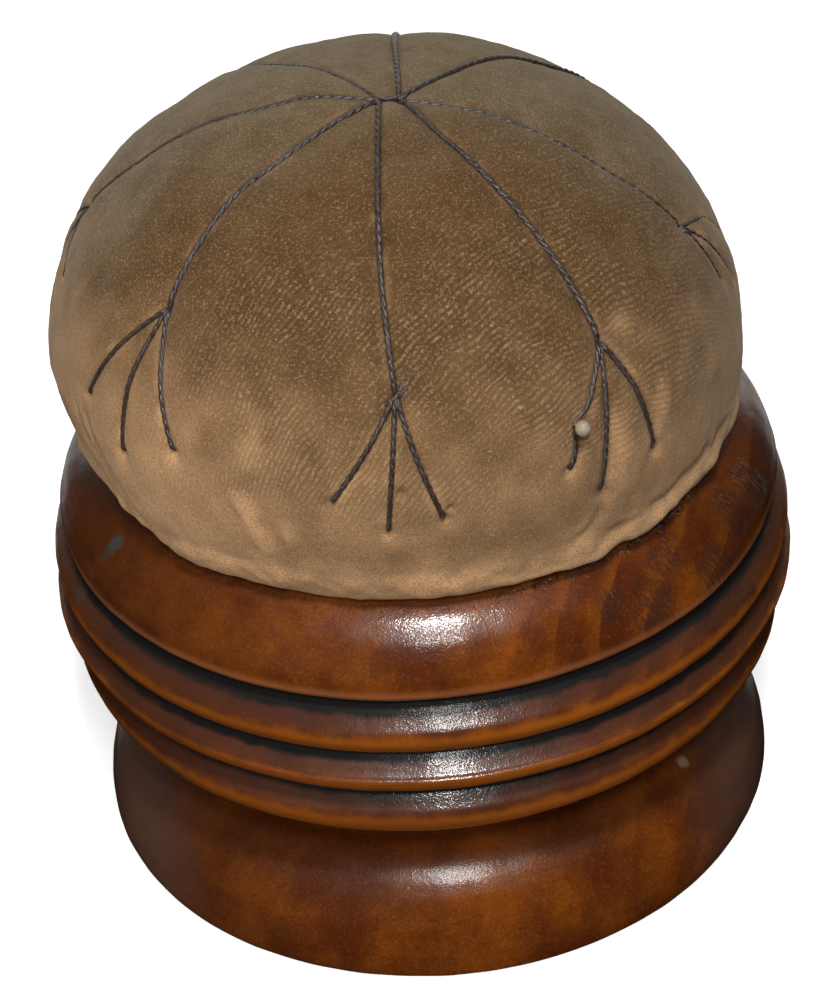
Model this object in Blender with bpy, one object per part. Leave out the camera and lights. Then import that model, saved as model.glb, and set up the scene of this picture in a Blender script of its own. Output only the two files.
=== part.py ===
"""Pin cushion: a round velvet cushion, star-stitched, seated in the cup of a turned wooden stand.

The stand's foot rests on z = 0 and its turning axis is the Z axis. The front of the object faces -Y.
Lengths are written in millimetres and angles in degrees; MM turns a length into metres.
"""

import math

import bmesh
import bpy
from mathutils import Vector

MM = 0.001
GAP = 0.3  # clearance between pieces that touch

# ---- Stand: one turned piece of wood -------------------------------------------------------
CUP_RADIUS = 38.0  # widest point of the cup; the other radii of the stand follow from it
STAND_SIDES = 48

FOOT_RADIUS = 0.967 * CUP_RADIUS
FOOT_SHOULDER_RADIUS = FOOT_RADIUS - 9.8
FOOT_SHOULDER_HEIGHT = 12.9
FOOT_EDGE = 0.6

NECK_RADIUS = 26.4
NECK_MIDDLE = 16.4

BEAD_RADII = (1.031 * CUP_RADIUS, 1.039 * CUP_RADIUS, CUP_RADIUS)  # from the top down
BEAD_HEIGHTS = (34.7, 29.9, 23.2)  # height of each bead's widest point
BEAD_ROUND = 2.4  # radius of a bead's lower edge
GROOVE_RADII = (36.2, 36.3, 35.4)  # bottom of the groove above each bead
GROOVE_HEIGHTS = (37.9, 31.8, 26.7)

CUP_HEIGHT = 39.7  # height of the cup's widest point
RIM_RADIUS = 30.0
RIM_HEIGHT = 47.7
SHOULDER_POWER = 1.6  # 1 would be a cone, 2 a quarter ellipse

SOCKET_RADIUS = 28.8
SOCKET_FLOOR = 26.0

# ---- Cushion -------------------------------------------------------------------------------
CUSHION_RADIUS = 35.3
CUSHION_MIDDLE = 59.3  # height where the cushion is widest
CUSHION_TOP = 85.7
DOME_RISE = CUSHION_TOP - CUSHION_MIDDLE
SIDE_DROP = 39.3  # the side below the middle is part of an ellipse this tall
CUSHION_LEAN = -1.3  # the dome leans this far along X
LEAN_START = RIM_HEIGHT  # below this height the cushion is centred in the cup
ROLL_RADIUS = 3.0  # rounded lower edge of the cushion
ROLL_HEIGHT = 51.1
VELVET = 1.0
CALICO = 0.5
CUSHION_SIDES = 32
LINING_SIDES = 20
HEM_HOLE = 8.0  # radius of the gathered opening under the cushion
LINING_HOLE = 3.0

CARD_RADIUS = 25.0
CARD_THICKNESS = 1.2

# ---- Thread --------------------------------------------------------------------------------
THREAD = 0.92  # diameter of the embroidery thread
GATHER_THREAD = 0.7
STITCH_LIFT = THREAD / 2 + GAP
STITCH_PITCH = THREAD + GAP + 0.1  # distance between the middles of two threads side by side
POINT_SPACING = 2.6  # distance between the points along a stitch

# The star starts at two needle holes on top of the cushion, joined by a short tie.
HOLE_SPREAD = 2.0
HOLE_Y = -1.15
HOLES = {"left": (-HOLE_SPREAD / 2, HOLE_Y), "right": (HOLE_SPREAD / 2, HOLE_Y)}

# Each ray runs from its hole to a fork, where three toes fan out.
# A place on the cushion is (azimuth about the cushion's middle, height above the table).
RAYS = {
    "front": ("left", (-90.5, 70.3), ((-101.0, 62.0), (-93.0, 58.5), (-84.5, 59.5))),
    "front_left": ("left", (-139.0, 73.0), ((-149.5, 64.5), (-139.5, 61.0), (-128.0, 64.0))),
    "left": ("left", (174.0, 73.5), ((163.0, 65.0), (173.0, 61.5), (183.0, 66.0))),
    "back_left": ("left", (126.0, 71.5), ((115.0, 63.0), (126.0, 59.0), (137.0, 62.5))),
    "back": ("right", (84.0, 71.0), ((73.0, 63.0), (83.0, 58.5), (95.0, 62.0))),
    "back_right": ("right", (42.0, 71.5), ((31.0, 62.0), (42.5, 59.0), (53.0, 63.0))),
    "right": ("right", (-14.5, 70.5), ((-13.0, 65.0), (-5.5, 62.0), (3.0, 65.0))),
    "front_right": ("right", (-52.0, 71.0), ((-63.5, 61.0), (-58.5, 57.5), (-47.0, 59.0))),
}

# ---- Glass-headed pin, pushed in where it interrupts a toe of the front right ray ----------
PIN_PLACE = (-61.0, 65.0)
PIN_AZIMUTH = -60.0
PIN_ELEVATION = 22.0
PIN_HEAD_RADIUS = 0.8
PIN_SHANK_RADIUS = 0.3
PIN_LENGTH = 26.0  # from under the head to the point
PIN_POINT = 2.5
PIN_TOE = ("front_right", 1)
PIN_TOE_GAP = PIN_SHANK_RADIUS + 3 * GAP


def clear_scene():
    for obj in list(bpy.data.objects):
        bpy.data.objects.remove(obj)


def material(name, colour, roughness, metallic=0.0):
    mat = bpy.data.materials.new(name)
    mat.use_nodes = True
    shader = mat.node_tree.nodes["Principled BSDF"]
    shader.inputs["Base Color"].default_value = (*colour, 1.0)
    shader.inputs["Roughness"].default_value = roughness
    shader.inputs["Metallic"].default_value = metallic
    mat.diffuse_color = (*colour, 1.0)
    return mat


def add_object(name, data, mat):
    obj = bpy.data.objects.new(name, data)
    bpy.context.scene.collection.objects.link(obj)
    data.materials.append(mat)
    return obj


def lean(z):
    """How far the cushion's middle is shifted along X at a height."""
    share = (z - LEAN_START) / (CUSHION_MIDDLE - LEAN_START)
    return CUSHION_LEAN * min(max(share, 0.0), 1.0)


def turned(name, profile, sides, mat, leaning=False):
    """A closed solid of revolution from a profile of (radius, height) points."""
    mesh_builder = bmesh.new()
    verts = [mesh_builder.verts.new((radius, 0.0, height)) for radius, height in profile]
    edges = [mesh_builder.edges.new(pair) for pair in zip(verts, verts[1:])]
    if profile[0][0] > 0.0:
        edges.append(mesh_builder.edges.new((verts[-1], verts[0])))
    bmesh.ops.spin(
        mesh_builder,
        geom=verts + edges,
        cent=(0.0, 0.0, 0.0),
        axis=(0.0, 0.0, 1.0),
        angle=math.tau,
        steps=sides,
        use_merge=True,
    )
    bmesh.ops.remove_doubles(mesh_builder, verts=mesh_builder.verts, dist=0.001)
    for vert in mesh_builder.verts:
        if leaning:
            vert.co.x += lean(vert.co.z)
        vert.co *= MM
    bmesh.ops.recalc_face_normals(mesh_builder, faces=mesh_builder.faces)
    mesh = bpy.data.meshes.new(name)
    mesh_builder.to_mesh(mesh)
    mesh_builder.free()
    mesh.shade_smooth()
    mesh.set_sharp_from_angle(angle=math.radians(40))
    return add_object(name, mesh, mat)


def arc(centre, radii, start, end, steps, power=2.0):
    """Points along an elliptical arc; a power below 2 flattens it towards a straight line."""
    points = []
    for step in range(steps + 1):
        angle = math.radians(start + (end - start) * step / steps)
        across = math.copysign(abs(math.cos(angle)) ** (2 / power), math.cos(angle))
        up = math.copysign(abs(math.sin(angle)) ** (2 / power), math.sin(angle))
        points.append((centre[0] + radii[0] * across, centre[1] + radii[1] * up))
    return points


# ---- Wooden stand --------------------------------------------------------------------------
def socket_outline():
    corner = 1.5
    rim_round = 1.2
    floor_corner = (SOCKET_RADIUS - corner, SOCKET_FLOOR + corner)
    rim_centre = (SOCKET_RADIUS + rim_round, RIM_HEIGHT - rim_round)
    points = [(0.0, SOCKET_FLOOR)]
    points += arc(floor_corner, (corner, corner), -90, 0, 2)
    points += arc(rim_centre, (rim_round, rim_round), 180, 120, 2)
    return points


def cup_outline():
    radii = (CUP_RADIUS - RIM_RADIUS, RIM_HEIGHT - CUP_HEIGHT)
    lip = 0.9
    points = arc((RIM_RADIUS, CUP_HEIGHT), radii, 90, 0, 7, SHOULDER_POWER)
    points += arc((CUP_RADIUS - lip, CUP_HEIGHT), (lip, lip), -35, -75, 1)
    return points


def bead_outline(number):
    """One bead: a sloping upper side out of its groove, then a tight lower edge."""
    radius = BEAD_RADII[number]
    height = BEAD_HEIGHTS[number]
    root = GROOVE_RADII[number]
    rise = GROOVE_HEIGHTS[number] - height
    points = arc((root, height), (radius - root, rise), 90, 0, 3)
    centre = (radius - BEAD_ROUND, height)
    points += arc(centre, (BEAD_ROUND, BEAD_ROUND), 0, -90, 3)[1:]
    return points


def neck_outline():
    underside = BEAD_HEIGHTS[-1] - BEAD_ROUND
    upper = arc((NECK_RADIUS + 5.0, NECK_MIDDLE), (5.0, underside - NECK_MIDDLE), 90, 180, 3)
    lower_rise = NECK_MIDDLE - FOOT_SHOULDER_HEIGHT
    lower = arc((NECK_RADIUS + 2.0, NECK_MIDDLE), (2.0, lower_rise), 180, 250, 2)[1:]
    return upper + lower


def foot_outline():
    shoulder_centre = (FOOT_SHOULDER_RADIUS, FOOT_EDGE)
    radii = (FOOT_RADIUS - FOOT_SHOULDER_RADIUS, FOOT_SHOULDER_HEIGHT - FOOT_EDGE)
    points = arc(shoulder_centre, radii, 78, 0, 6)
    points += arc((FOOT_RADIUS - FOOT_EDGE, FOOT_EDGE), (FOOT_EDGE, FOOT_EDGE), -45, -90, 1)
    points.append((0.0, 0.0))
    return points


def wood_stand():
    profile = socket_outline() + cup_outline()
    for number in range(len(BEAD_RADII)):
        profile += bead_outline(number)
    profile += neck_outline() + foot_outline()
    wood = material("stained_wood", (0.16, 0.055, 0.02), 0.3)
    return turned("wood_stand", profile, STAND_SIDES, wood)


# ---- Cushion and what it holds -------------------------------------------------------------
def cushion_outline(dome_steps, roll_steps):
    """Outer side of the velvet, from the top of the dome to the underside's centre."""
    side_angle = math.asin((CUSHION_MIDDLE - ROLL_HEIGHT) / SIDE_DROP)
    side_radius = CUSHION_RADIUS * math.cos(side_angle)
    tuck_radius = SOCKET_RADIUS - GAP
    tuck_corner = 2.2
    bottom = SOCKET_FLOOR + GAP
    dome = (CUSHION_RADIUS, DOME_RISE)
    side = (CUSHION_RADIUS, SIDE_DROP)
    points = arc((0.0, CUSHION_MIDDLE), dome, 90, 0, dome_steps)
    points += arc((0.0, CUSHION_MIDDLE), side, 0, -math.degrees(side_angle), 2)[1:]
    roll_centre = (side_radius - ROLL_RADIUS, ROLL_HEIGHT)
    points += arc(roll_centre, (ROLL_RADIUS, ROLL_RADIUS), 0, -90, roll_steps)[1:]
    points.append((SOCKET_RADIUS + 0.2, RIM_HEIGHT + GAP))
    points.append((tuck_radius, RIM_HEIGHT - 0.9))
    bottom_corner = (tuck_radius - tuck_corner, bottom + tuck_corner)
    points += arc(bottom_corner, (tuck_corner, tuck_corner), 0, -90, 2)
    return points


def inset(profile, distance):
    """The same outline moved inwards; its first point stays on the axis."""
    moved = []
    for place, point in enumerate(profile):
        before = Vector(profile[max(place - 1, 0)])
        after = Vector(profile[min(place + 1, len(profile) - 1)])
        along = (after - before).normalized()
        shifted = Vector(point) + Vector((along.y, -along.x)) * distance
        moved.append((max(shifted.x, 0.0), shifted.y))
    moved[0] = (0.0, profile[0][1] - distance)
    return moved


def bag_outline(outer, thickness, hole):
    """A bag's wall as a closed outline: down its outside, through its hole and up its inside."""
    outside = outer + [(hole, outer[-1][1])]
    return outside + inset(outside, thickness)[::-1]


def velvet_cover():
    outline = bag_outline(cushion_outline(9, 4), VELVET, HEM_HOLE)
    velvet = material("velvet", (0.27, 0.19, 0.11), 0.9)
    return turned("velvet_cover", outline, CUSHION_SIDES, velvet, leaning=True)


def filling_outline(depth):
    """Outline of a piece inside the velvet, with a flat floor above the card disc."""
    floor = SOCKET_FLOOR + GAP + CARD_THICKNESS + GAP + depth
    corner = 2.0
    above_floor = cushion_outline(6, 2)[:-3]
    outline = inset(above_floor, depth)
    wall = outline[-1][0]
    outline += arc((wall - corner, floor + corner), (corner, corner), 0, -90, 2)
    return outline


def lining_bag():
    outer = filling_outline(VELVET + 2 * GAP)
    calico = material("calico", (0.6, 0.53, 0.4), 0.95)
    outline = bag_outline(outer, CALICO, LINING_HOLE)
    return turned("lining_bag", outline, LINING_SIDES, calico, leaning=True)


def stuffing():
    outer = filling_outline(VELVET + CALICO + 4 * GAP)
    outline = outer + [(0.0, outer[-1][1])]
    sawdust = material("sawdust", (0.52, 0.38, 0.2), 1.0)
    return turned("stuffing", outline, LINING_SIDES, sawdust, leaning=True)


def card_disc():
    low = SOCKET_FLOOR + 2 * GAP + VELVET
    high = low + CARD_THICKNESS
    outline = [(0.0, high), (CARD_RADIUS, high), (CARD_RADIUS, low), (0.0, low)]
    card = material("card", (0.42, 0.34, 0.24), 0.9)
    return turned("card_disc", outline, CUSHION_SIDES, card)


def gathering_thread():
    """The thread that draws the velvet's raw edge together under the cushion."""
    wire = GATHER_THREAD / 2
    centre = (HEM_HOLE - wire - GAP, SOCKET_FLOOR + GAP + VELVET / 2)
    outline = arc(centre, (wire, wire), 0, -360, 6)[:-1]
    linen = material("linen_thread", (0.55, 0.48, 0.36), 0.8)
    return turned("gathering_thread", outline, LINING_SIDES, linen)


# ---- Star stitches -------------------------------------------------------------------------
def middle():
    return Vector((CUSHION_LEAN, 0.0, CUSHION_MIDDLE))


def on_velvet(direction, lift):
    """The point above the velvet in a direction from the cushion's middle."""
    rise = DOME_RISE if direction.z >= 0.0 else SIDE_DROP
    axes = Vector((CUSHION_RADIUS, CUSHION_RADIUS, rise))
    stretched = Vector([value / axis for value, axis in zip(direction, axes)])
    surface = direction / stretched.length
    normal = Vector([value / axis**2 for value, axis in zip(surface, axes)]).normalized()
    return middle() + surface + normal * lift


def place_direction(place):
    """Direction from the cushion's middle to an (azimuth, height) place on the velvet."""
    azimuth = math.radians(place[0])
    rise = place[1] - CUSHION_MIDDLE
    reach = DOME_RISE if rise >= 0.0 else SIDE_DROP
    radius = CUSHION_RADIUS * math.sqrt(1.0 - (rise / reach) ** 2)
    return Vector((radius * math.cos(azimuth), radius * math.sin(azimuth), rise))


def hole_direction(name):
    x, y = HOLES[name]
    return Vector((x - CUSHION_LEAN, y, DOME_RISE))


def stitch(name, start, end, thread, trim_start=0.0, trim_end=0.0):
    """One straight stitch over the velvet between two directions, shortened at its ends."""
    length = (on_velvet(end, STITCH_LIFT) - on_velvet(start, STITCH_LIFT)).length
    first = trim_start / length
    last = 1.0 - trim_end / length
    count = max(3, math.ceil((last - first) * length / POINT_SPACING) + 1)
    curve = bpy.data.curves.new(name, "CURVE")
    curve.dimensions = "3D"
    curve.bevel_depth = THREAD / 2 * MM
    curve.bevel_resolution = 1
    curve.use_fill_caps = True
    spline = curve.splines.new("POLY")
    spline.points.add(count - 1)
    for number, point in enumerate(spline.points):
        share = first + (last - first) * number / (count - 1)
        place = on_velvet(start.lerp(end, share), STITCH_LIFT) * MM
        point.co = (*place, 1.0)
    return add_object(name, curve, thread)


def hole_clearance(hole):
    """How far from a hole its rays are a full thread apart."""
    origin = Vector(HOLES[hole])
    headings = []
    for ray_hole, fork, _ in RAYS.values():
        if ray_hole == hole:
            end = place_direction(fork) + middle()
            headings.append(math.atan2(end.y - origin.y, end.x - origin.x) % math.tau)
    return fan_clearance(headings, wraps=True)


def fan_clearance(headings, wraps=False):
    """Distance at which stitches that fan out from one point are a full thread apart."""
    ordered = sorted(headings)
    steps = [after - before for before, after in zip(ordered, ordered[1:])]
    if wraps:
        steps.append(ordered[0] + math.tau - ordered[-1])
    return STITCH_PITCH / (2 * math.sin(min(steps) / 2))


def toe_headings(fork, ends):
    """The angle of each toe from straight down, in the velvet's tangent plane at the fork."""
    origin = on_velvet(place_direction(fork), 0.0)
    outward = (origin - middle()).normalized()
    sideways = Vector((0.0, 0.0, 1.0)).cross(outward).normalized()
    downhill = sideways.cross(outward)
    headings = []
    for end in ends:
        run = on_velvet(place_direction(end), 0.0) - origin
        headings.append(math.atan2(run.dot(sideways), abs(run.dot(downhill))))
    return headings


def star_ray(name, thread):
    """A long stitch from the crown to its fork, and the three toes below the fork."""
    hole, fork, ends = RAYS[name]
    fork_direction = place_direction(fork)
    stitch(f"ray_{name}", hole_direction(hole), fork_direction, thread, hole_clearance(hole))
    clearance = fan_clearance(toe_headings(fork, ends))
    for number, end in enumerate(ends, start=1):
        end_direction = place_direction(end)
        toe = f"toe_{name}_{number}"
        if (name, number) == PIN_TOE:
            pin = place_direction(PIN_PLACE)
            stitch(toe, fork_direction, pin, thread, clearance, PIN_TOE_GAP)
            stitch(f"{toe}_below_pin", pin, end_direction, thread, PIN_TOE_GAP)
        else:
            stitch(toe, fork_direction, end_direction, thread, clearance)


def star_stitches():
    thread = material("embroidery_thread", (0.045, 0.028, 0.024), 0.6)
    for name in RAYS:
        star_ray(name, thread)
    inset_end = THREAD / 4
    left, right = hole_direction("left"), hole_direction("right")
    stitch("tie_stitch", left, right, thread, inset_end, inset_end)


# ---- Pin -----------------------------------------------------------------------------------
def pin_axis():
    azimuth, elevation = math.radians(PIN_AZIMUTH), math.radians(PIN_ELEVATION)
    level = math.cos(elevation)
    return Vector((level * math.cos(azimuth), level * math.sin(azimuth), math.sin(elevation)))


def place_on_pin_axis(obj):
    """Puts an object made along Z on the pin's axis, with its origin at the head's centre."""
    foot = on_velvet(place_direction(PIN_PLACE), 0.0)
    centre = foot + pin_axis() * (PIN_HEAD_RADIUS + GAP)
    obj.location = centre * MM
    obj.rotation_euler = pin_axis().to_track_quat("Z", "Y").to_euler()
    return obj


def pin_head():
    glass = material("pin_glass", (0.55, 0.5, 0.4), 0.35)
    outline = arc((0.0, 0.0), (PIN_HEAD_RADIUS, PIN_HEAD_RADIUS), 90, -90, 6)
    return place_on_pin_axis(turned("pin_head", outline, 12, glass))


def pin_shank():
    steel = material("pin_steel", (0.6, 0.6, 0.6), 0.25, 1.0)
    top = -PIN_HEAD_RADIUS - GAP
    tip = -PIN_HEAD_RADIUS - PIN_LENGTH
    outline = [(0.0, top), (PIN_SHANK_RADIUS, top), (PIN_SHANK_RADIUS, tip + PIN_POINT), (0.0, tip)]
    return place_on_pin_axis(turned("pin_shank", outline, 8, steel))


def pin_hole_cutter():
    """The path of the pin through the cushion, wider than the shank by the clearance."""
    guide = material("cutter", (1.0, 0.0, 0.0), 0.5)
    radius = PIN_SHANK_RADIUS + GAP
    top = PIN_HEAD_RADIUS
    tip = -PIN_HEAD_RADIUS - PIN_LENGTH - GAP
    outline = [(0.0, top), (radius, top), (radius, tip), (0.0, tip)]
    cutter = place_on_pin_axis(turned("pin_hole_cutter", outline, 8, guide))
    cutter.hide_render = True
    cutter.display_type = "WIRE"
    return cutter


def pierce(pieces, cutter):
    for piece in pieces:
        cut = piece.modifiers.new("pin_hole", "BOOLEAN")
        cut.operation = "DIFFERENCE"
        cut.object = cutter


def main():
    clear_scene()
    wood_stand()
    soft_pieces = [velvet_cover(), lining_bag(), stuffing()]
    card_disc()
    gathering_thread()
    star_stitches()
    pin_head()
    pin_shank()
    pierce(soft_pieces, pin_hole_cutter())


main()
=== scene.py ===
"""Looks for a star-stitched velvet pin cushion seated in the cup of a turned wooden stand.

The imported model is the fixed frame. Lengths here are in millimetres and angles in degrees; MM turns a
length into metres. Z is up, the foot rests on z = 0 and the front of the object faces -Y.
"""

import math

import bpy
import numpy as np
from mathutils import Matrix, Vector, kdtree


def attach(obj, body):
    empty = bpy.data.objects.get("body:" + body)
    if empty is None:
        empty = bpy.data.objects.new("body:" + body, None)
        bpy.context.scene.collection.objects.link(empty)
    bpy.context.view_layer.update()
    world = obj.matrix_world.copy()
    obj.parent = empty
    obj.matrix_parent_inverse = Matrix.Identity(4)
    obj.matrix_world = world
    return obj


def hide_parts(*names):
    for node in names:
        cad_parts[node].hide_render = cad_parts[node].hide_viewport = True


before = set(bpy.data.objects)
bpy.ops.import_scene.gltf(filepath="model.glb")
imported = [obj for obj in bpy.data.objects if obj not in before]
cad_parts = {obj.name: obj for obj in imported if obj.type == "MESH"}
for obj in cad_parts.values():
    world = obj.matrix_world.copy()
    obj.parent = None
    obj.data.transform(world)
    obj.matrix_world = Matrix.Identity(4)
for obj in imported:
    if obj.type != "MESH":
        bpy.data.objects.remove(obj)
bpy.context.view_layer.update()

MM = 0.001
GAP = 0.3
ON_AXIS = 1e-6  # a radius below this is a point on the axis

# ---- Camera: it stands in front, tips down by the elevation, then turns by yaw, pitch and roll ----
LIP_MIDDLE = Vector((0.0, 0.0, 38.57))  # middle of the cup at its lip, which the camera is aimed by
CAMERA_DISTANCE = 356.99
CAMERA_ELEVATION = 36.47
CAMERA_YAW = -0.16
CAMERA_PITCH = -0.43
CAMERA_ROLL = -4.32
CAMERA_LENS = 120.6

# ---- Stand: the CAD part's outline, its beads a little steeper ----
CUP_RADIUS = 38.0
FOOT_RADIUS = 0.967 * CUP_RADIUS
FOOT_SHOULDER_RADIUS = FOOT_RADIUS - 9.8
FOOT_SHOULDER_HEIGHT = 12.9
FOOT_EDGE = 0.6
NECK_RADIUS = 26.4
NECK_MIDDLE = 16.4
NECK_ROUND = (5.0, 2.0)  # how far in the neck curves from the last bead and from the foot
BEAD_RADII = (1.031 * CUP_RADIUS, 1.039 * CUP_RADIUS, CUP_RADIUS)
BEAD_HEIGHTS = (34.7, 29.9, 23.2)
BEAD_ROUND = 2.4  # radius of a bead's nose and underside
BEAD_SHOULDERS = ((0.7, 1.3), (0.55, 0.1), (0.5, 1.4))  # in from and above the widest point
GROOVE_RADII = (36.2, 36.9, 35.6)
GROOVE_HEIGHTS = (37.9, 32.2, 26.9)
CUP_HEIGHT = 39.7
CUP_LIP = 0.9
RIM_RADIUS = 30.0
RIM_HEIGHT = 47.7
RIM_ROUND = 1.2
SHOULDER_POWER = 1.6  # of the cup's shoulder: 2 would be an ellipse, 1 a straight line
SOCKET_RADIUS = 28.8
SOCKET_FLOOR = 26.0
SOCKET_CORNER = 1.5
STAND_SIDES = 420
STAND_SPACING = 0.42
PLAIN = 9.0  # "flank" value of wood that isn't on a bead

# ---- Marks in the wood ----
RING_PERIOD = 4.4  # of the growth rings, across them
RING_START = 23.7
RING_NORMAL = (1.0, -0.34, -0.09)
# Rough patches of open grain on the right of the cup: azimuth, radius, height, size.
OPEN_GRAIN = (
    (-20.5, 36.5, 43.4, 2.4),
    (-28.9, 36.0, 43.9, 2.1),
    (-38.9, 37.6, 41.3, 2.2),
    (-43.4, 38.2, 37.1, 1.2),
    (-47.4, 35.2, 44.8, 1.7),
    (-52.6, 37.0, 42.6, 2.3),
    (-60.2, 36.0, 44.0, 1.2),
    (-33.0, 38.8, 35.6, 1.6),
)
# A grey-green scuff and its smeared tail: azimuth, radius, height, size, strength.
SCUFF = (
    (-151.8, 35.1, 45.0, 1.05, 0.85),
    (-152.2, 35.5, 44.5, 0.9, 0.7),
    (-152.6, 36.0, 43.8, 0.75, 0.4),
    (-153.1, 36.6, 43.1, 0.6, 0.2),
    (-154.0, 37.6, 41.2, 0.7, 0.2),
    (-159.4, 38.4, 36.8, 1.1, 0.3),
)
CHIP = (-35.0, 31.8, 11.3, 0.8, 0.5)  # a pale chip on the foot, with the same fields
SPECK_SIZE = 0.14
SPECK_STRENGTH = 0.6
SPECKS = (  # azimuth, radius, height
    (-44.4, 37.3, 37.7),
    (-43.0, 37.5, 37.6),
    (-82.0, 37.2, 42.3),
    # On the foot: a painted highlight, the glint of a small bump in the lacquer.
    (-97.2, 33.4, 9.9),
    (-139.0, 36.5, 43.0),
    (-131.0, 37.2, 41.5),
)

# ---- Cushion ----
CUSHION_RADIUS = 35.3
CUSHION_MIDDLE = 59.3
CUSHION_TOP = 85.7
DOME_RISE = CUSHION_TOP - CUSHION_MIDDLE
SIDE_DROP = 39.3
CUSHION_LEAN = -1.3  # how far the dome is shifted along X
LEAN_START = RIM_HEIGHT
TURN_HEIGHT = 52.0  # where the side turns in towards the wood, along a quarter of an ellipse
TURN_IN = (3.49, 4.7)
TURN_ANGLE = 75.0
EDGE_HEIGHT = 50.4  # where the side is well turned in: below it the velvet is puckered
EDGE_DEPTH = 2.5  # from there down to the wood
VELVET = 1.0
ROW_PITCH = 0.62  # of the rows of pile
TUFT_LENGTH = 0.55
HEM_HOLE = 8.0
TUCK = ((2.2, 0.14), (0.2, GAP), (-GAP, -0.9))  # over the rim: out from the socket, up from the rim
TUCK_CORNER = 2.2  # round the bottom of the socket
INNER_EDGE = ((-2.6, -0.4), (-0.9, 1.5))  # the bag's inner side: in from its wall, up from EDGE_HEIGHT
DOME_STEPS = 160  # of the dome's outline before it is spaced evenly
DOME_RINGS = 140
COARSE_RINGS = 26
EDGE_SPACING = 0.33
MIDDLE = np.array([CUSHION_LEAN, 0.0, CUSHION_MIDDLE])  # places on the velvet are seen from here

# ---- Cloth run of the velvet, at PUFF_SCALE times its size ----
PUFF_SCALE = 12.0
PUFF_FRAMES = 20
PUFF_CLOTH = {
    "quality": 6,
    "mass": 0.3,
    "tension_stiffness": 25.0,
    "compression_stiffness": 25.0,
    "shear_stiffness": 15.0,
    "bending_stiffness": 2.0,
    "use_pressure": True,
    "uniform_pressure_force": 24.0,
}
PUFF_INSET = 0.35  # how far inside the plain outline the velvet starts
HELD_WIDTH = 1.1  # of the strip that a thread holds down

# ---- Relief of the velvet: layers of noise as (height, wavelength, seed), the rest as (depth, width) ----
LUMPS = ((0.22, 26.0, 11), (0.10, 11.0, 12))
PUCKERS = ((0.20, 7.0, 15), (0.09, 2.6, 16))
NAP = ((0.03, 2.6, 13), (0.015, 1.3, 14))
THREAD_FURROWS = ((0.22, 0.30), (0.16, 1.1))
END_PIT = (0.40, 0.6)
PRICK_DEPTH = 0.7
SETTLED = 0.22  # how much lower the whole dome lies than its plain outline
FLAT_RIGHT = 0.5  # how far the dome is flattened at its upper right

# ---- Embroidery ----
THREAD = 0.64
TOE_THREAD = 0.58
THREAD_LIFT = -0.14  # middle of a thread against the plain velvet
END_DROP = {"toe": 1.0, "ray": 0.4, "knot": 0.3, "tie": 0.0}  # how far a stitch's last end is drawn under
START_DROP = 0.5
PLY_SIDES = 7
PLY_SHARE = 0.73  # of the thread's radius
TWIST = 2.2  # length of one turn of the two plies
THREAD_STEP = 0.22  # between a thread's rings of points
HOLE_SPREAD = 2.0
HOLE_Y = -1.15
HOLES = {"left": (-HOLE_SPREAD / 2, HOLE_Y), "right": (HOLE_SPREAD / 2, HOLE_Y)}

# A ray's hole, the (azimuth, radius) places it passes, its fork, and the places its three toes pass.
# The fork and the toes are (azimuth, height above the table).
RAYS = {
    "front": (
        "left",
        ((-91.9, 21.7),),
        (-90.4, 71.2),
        (((-95.6, 66.5), (-101.8, 61.0)), ((-91.6, 65.4), (-93.1, 57.4)), ((-87.8, 65.6), (-84.1, 58.4))),
    ),
    "front_left": (
        "left",
        ((-137.0, 9.0), (-141.5, 16.0), (-141.4, 22.0)),
        (-139.2, 74.7),
        (
            ((-145.9, 70.2), (-151.3, 63.6)),
            ((-140.9, 67.3), (-141.3, 59.9)),
            ((-133.8, 68.6), (-129.3, 63.0)),
        ),
    ),
    "left": (
        "left",
        ((175.0, 8.6), (175.0, 14.0), (173.0, 20.5)),
        (173.2, 73.0),
        (((166.0, 69.0), (163.0, 65.0)), ((173.0, 67.0), (173.0, 61.5)), ((176.0, 70.2), (182.0, 67.5))),
    ),
    "back_left": (
        "left",
        ((126.0, 18.0),),
        (126.0, 71.5),
        (((115.0, 63.0),), ((126.0, 59.0),), ((137.0, 62.5),)),
    ),
    "back": (
        "right",
        ((82.5, 18.0),),
        (84.0, 71.0),
        (((73.0, 63.0),), ((83.0, 58.5),), ((95.0, 62.0),)),
    ),
    "back_right": (
        "right",
        ((40.5, 18.0),),
        (42.0, 71.5),
        (((31.0, 62.0),), ((42.5, 59.0),), ((53.0, 63.0),)),
    ),
    "right": (
        "right",
        ((-15.4, 12.0), (-15.3, 18.8)),
        (-14.2, 72.4),
        (((-13.0, 68.5), (-11.8, 65.0)), ((-8.0, 67.0), (-5.5, 62.0)), ((-3.0, 69.5), (3.0, 65.0))),
    ),
    "front_right": (
        "right",
        ((-49.6, 9.0), (-51.3, 16.0)),
        (-51.7, 71.0),
        (((-57.0, 67.0), (-63.3, 60.6)), ((-54.6, 65.8), (-58.2, 56.9)), ((-48.4, 66.0), (-46.4, 58.4))),
    ),
}
KNOT = ((-92.6, 70.3), (-90.4, 71.0), (-87.9, 71.8))  # a thread's end knotted over the front fork
# How much deeper than the others a ray and its toes lie in the pile.
SUNK_RAYS = {"right": 0.34, "left": 0.26, "back_left": 0.36, "front_left": 0.10, "front_right": 0.06}

# ---- Pin ----
PIN_PLACE = (-61.0, 65.0)
PIN_AZIMUTH = -60.0
PIN_ELEVATION = 22.0
PIN_HEAD_RADIUS = 0.8
PIN_SHANK_RADIUS = 0.3
PIN_LENGTH = 26.0
PIN_POINT = 2.5  # length of its tapered end
PIN_TAPER = (0.25, 0.5, 0.75, 0.92)  # places along the tapered end
PIN_HOLE_GAP = 0.12  # round the shank
PIN_TOE = "toe_front_right_1"  # the stitch that the pin stands in
PIN_TOE_BEND = 0.8  # how far its thread keeps from the pin's axis

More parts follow.
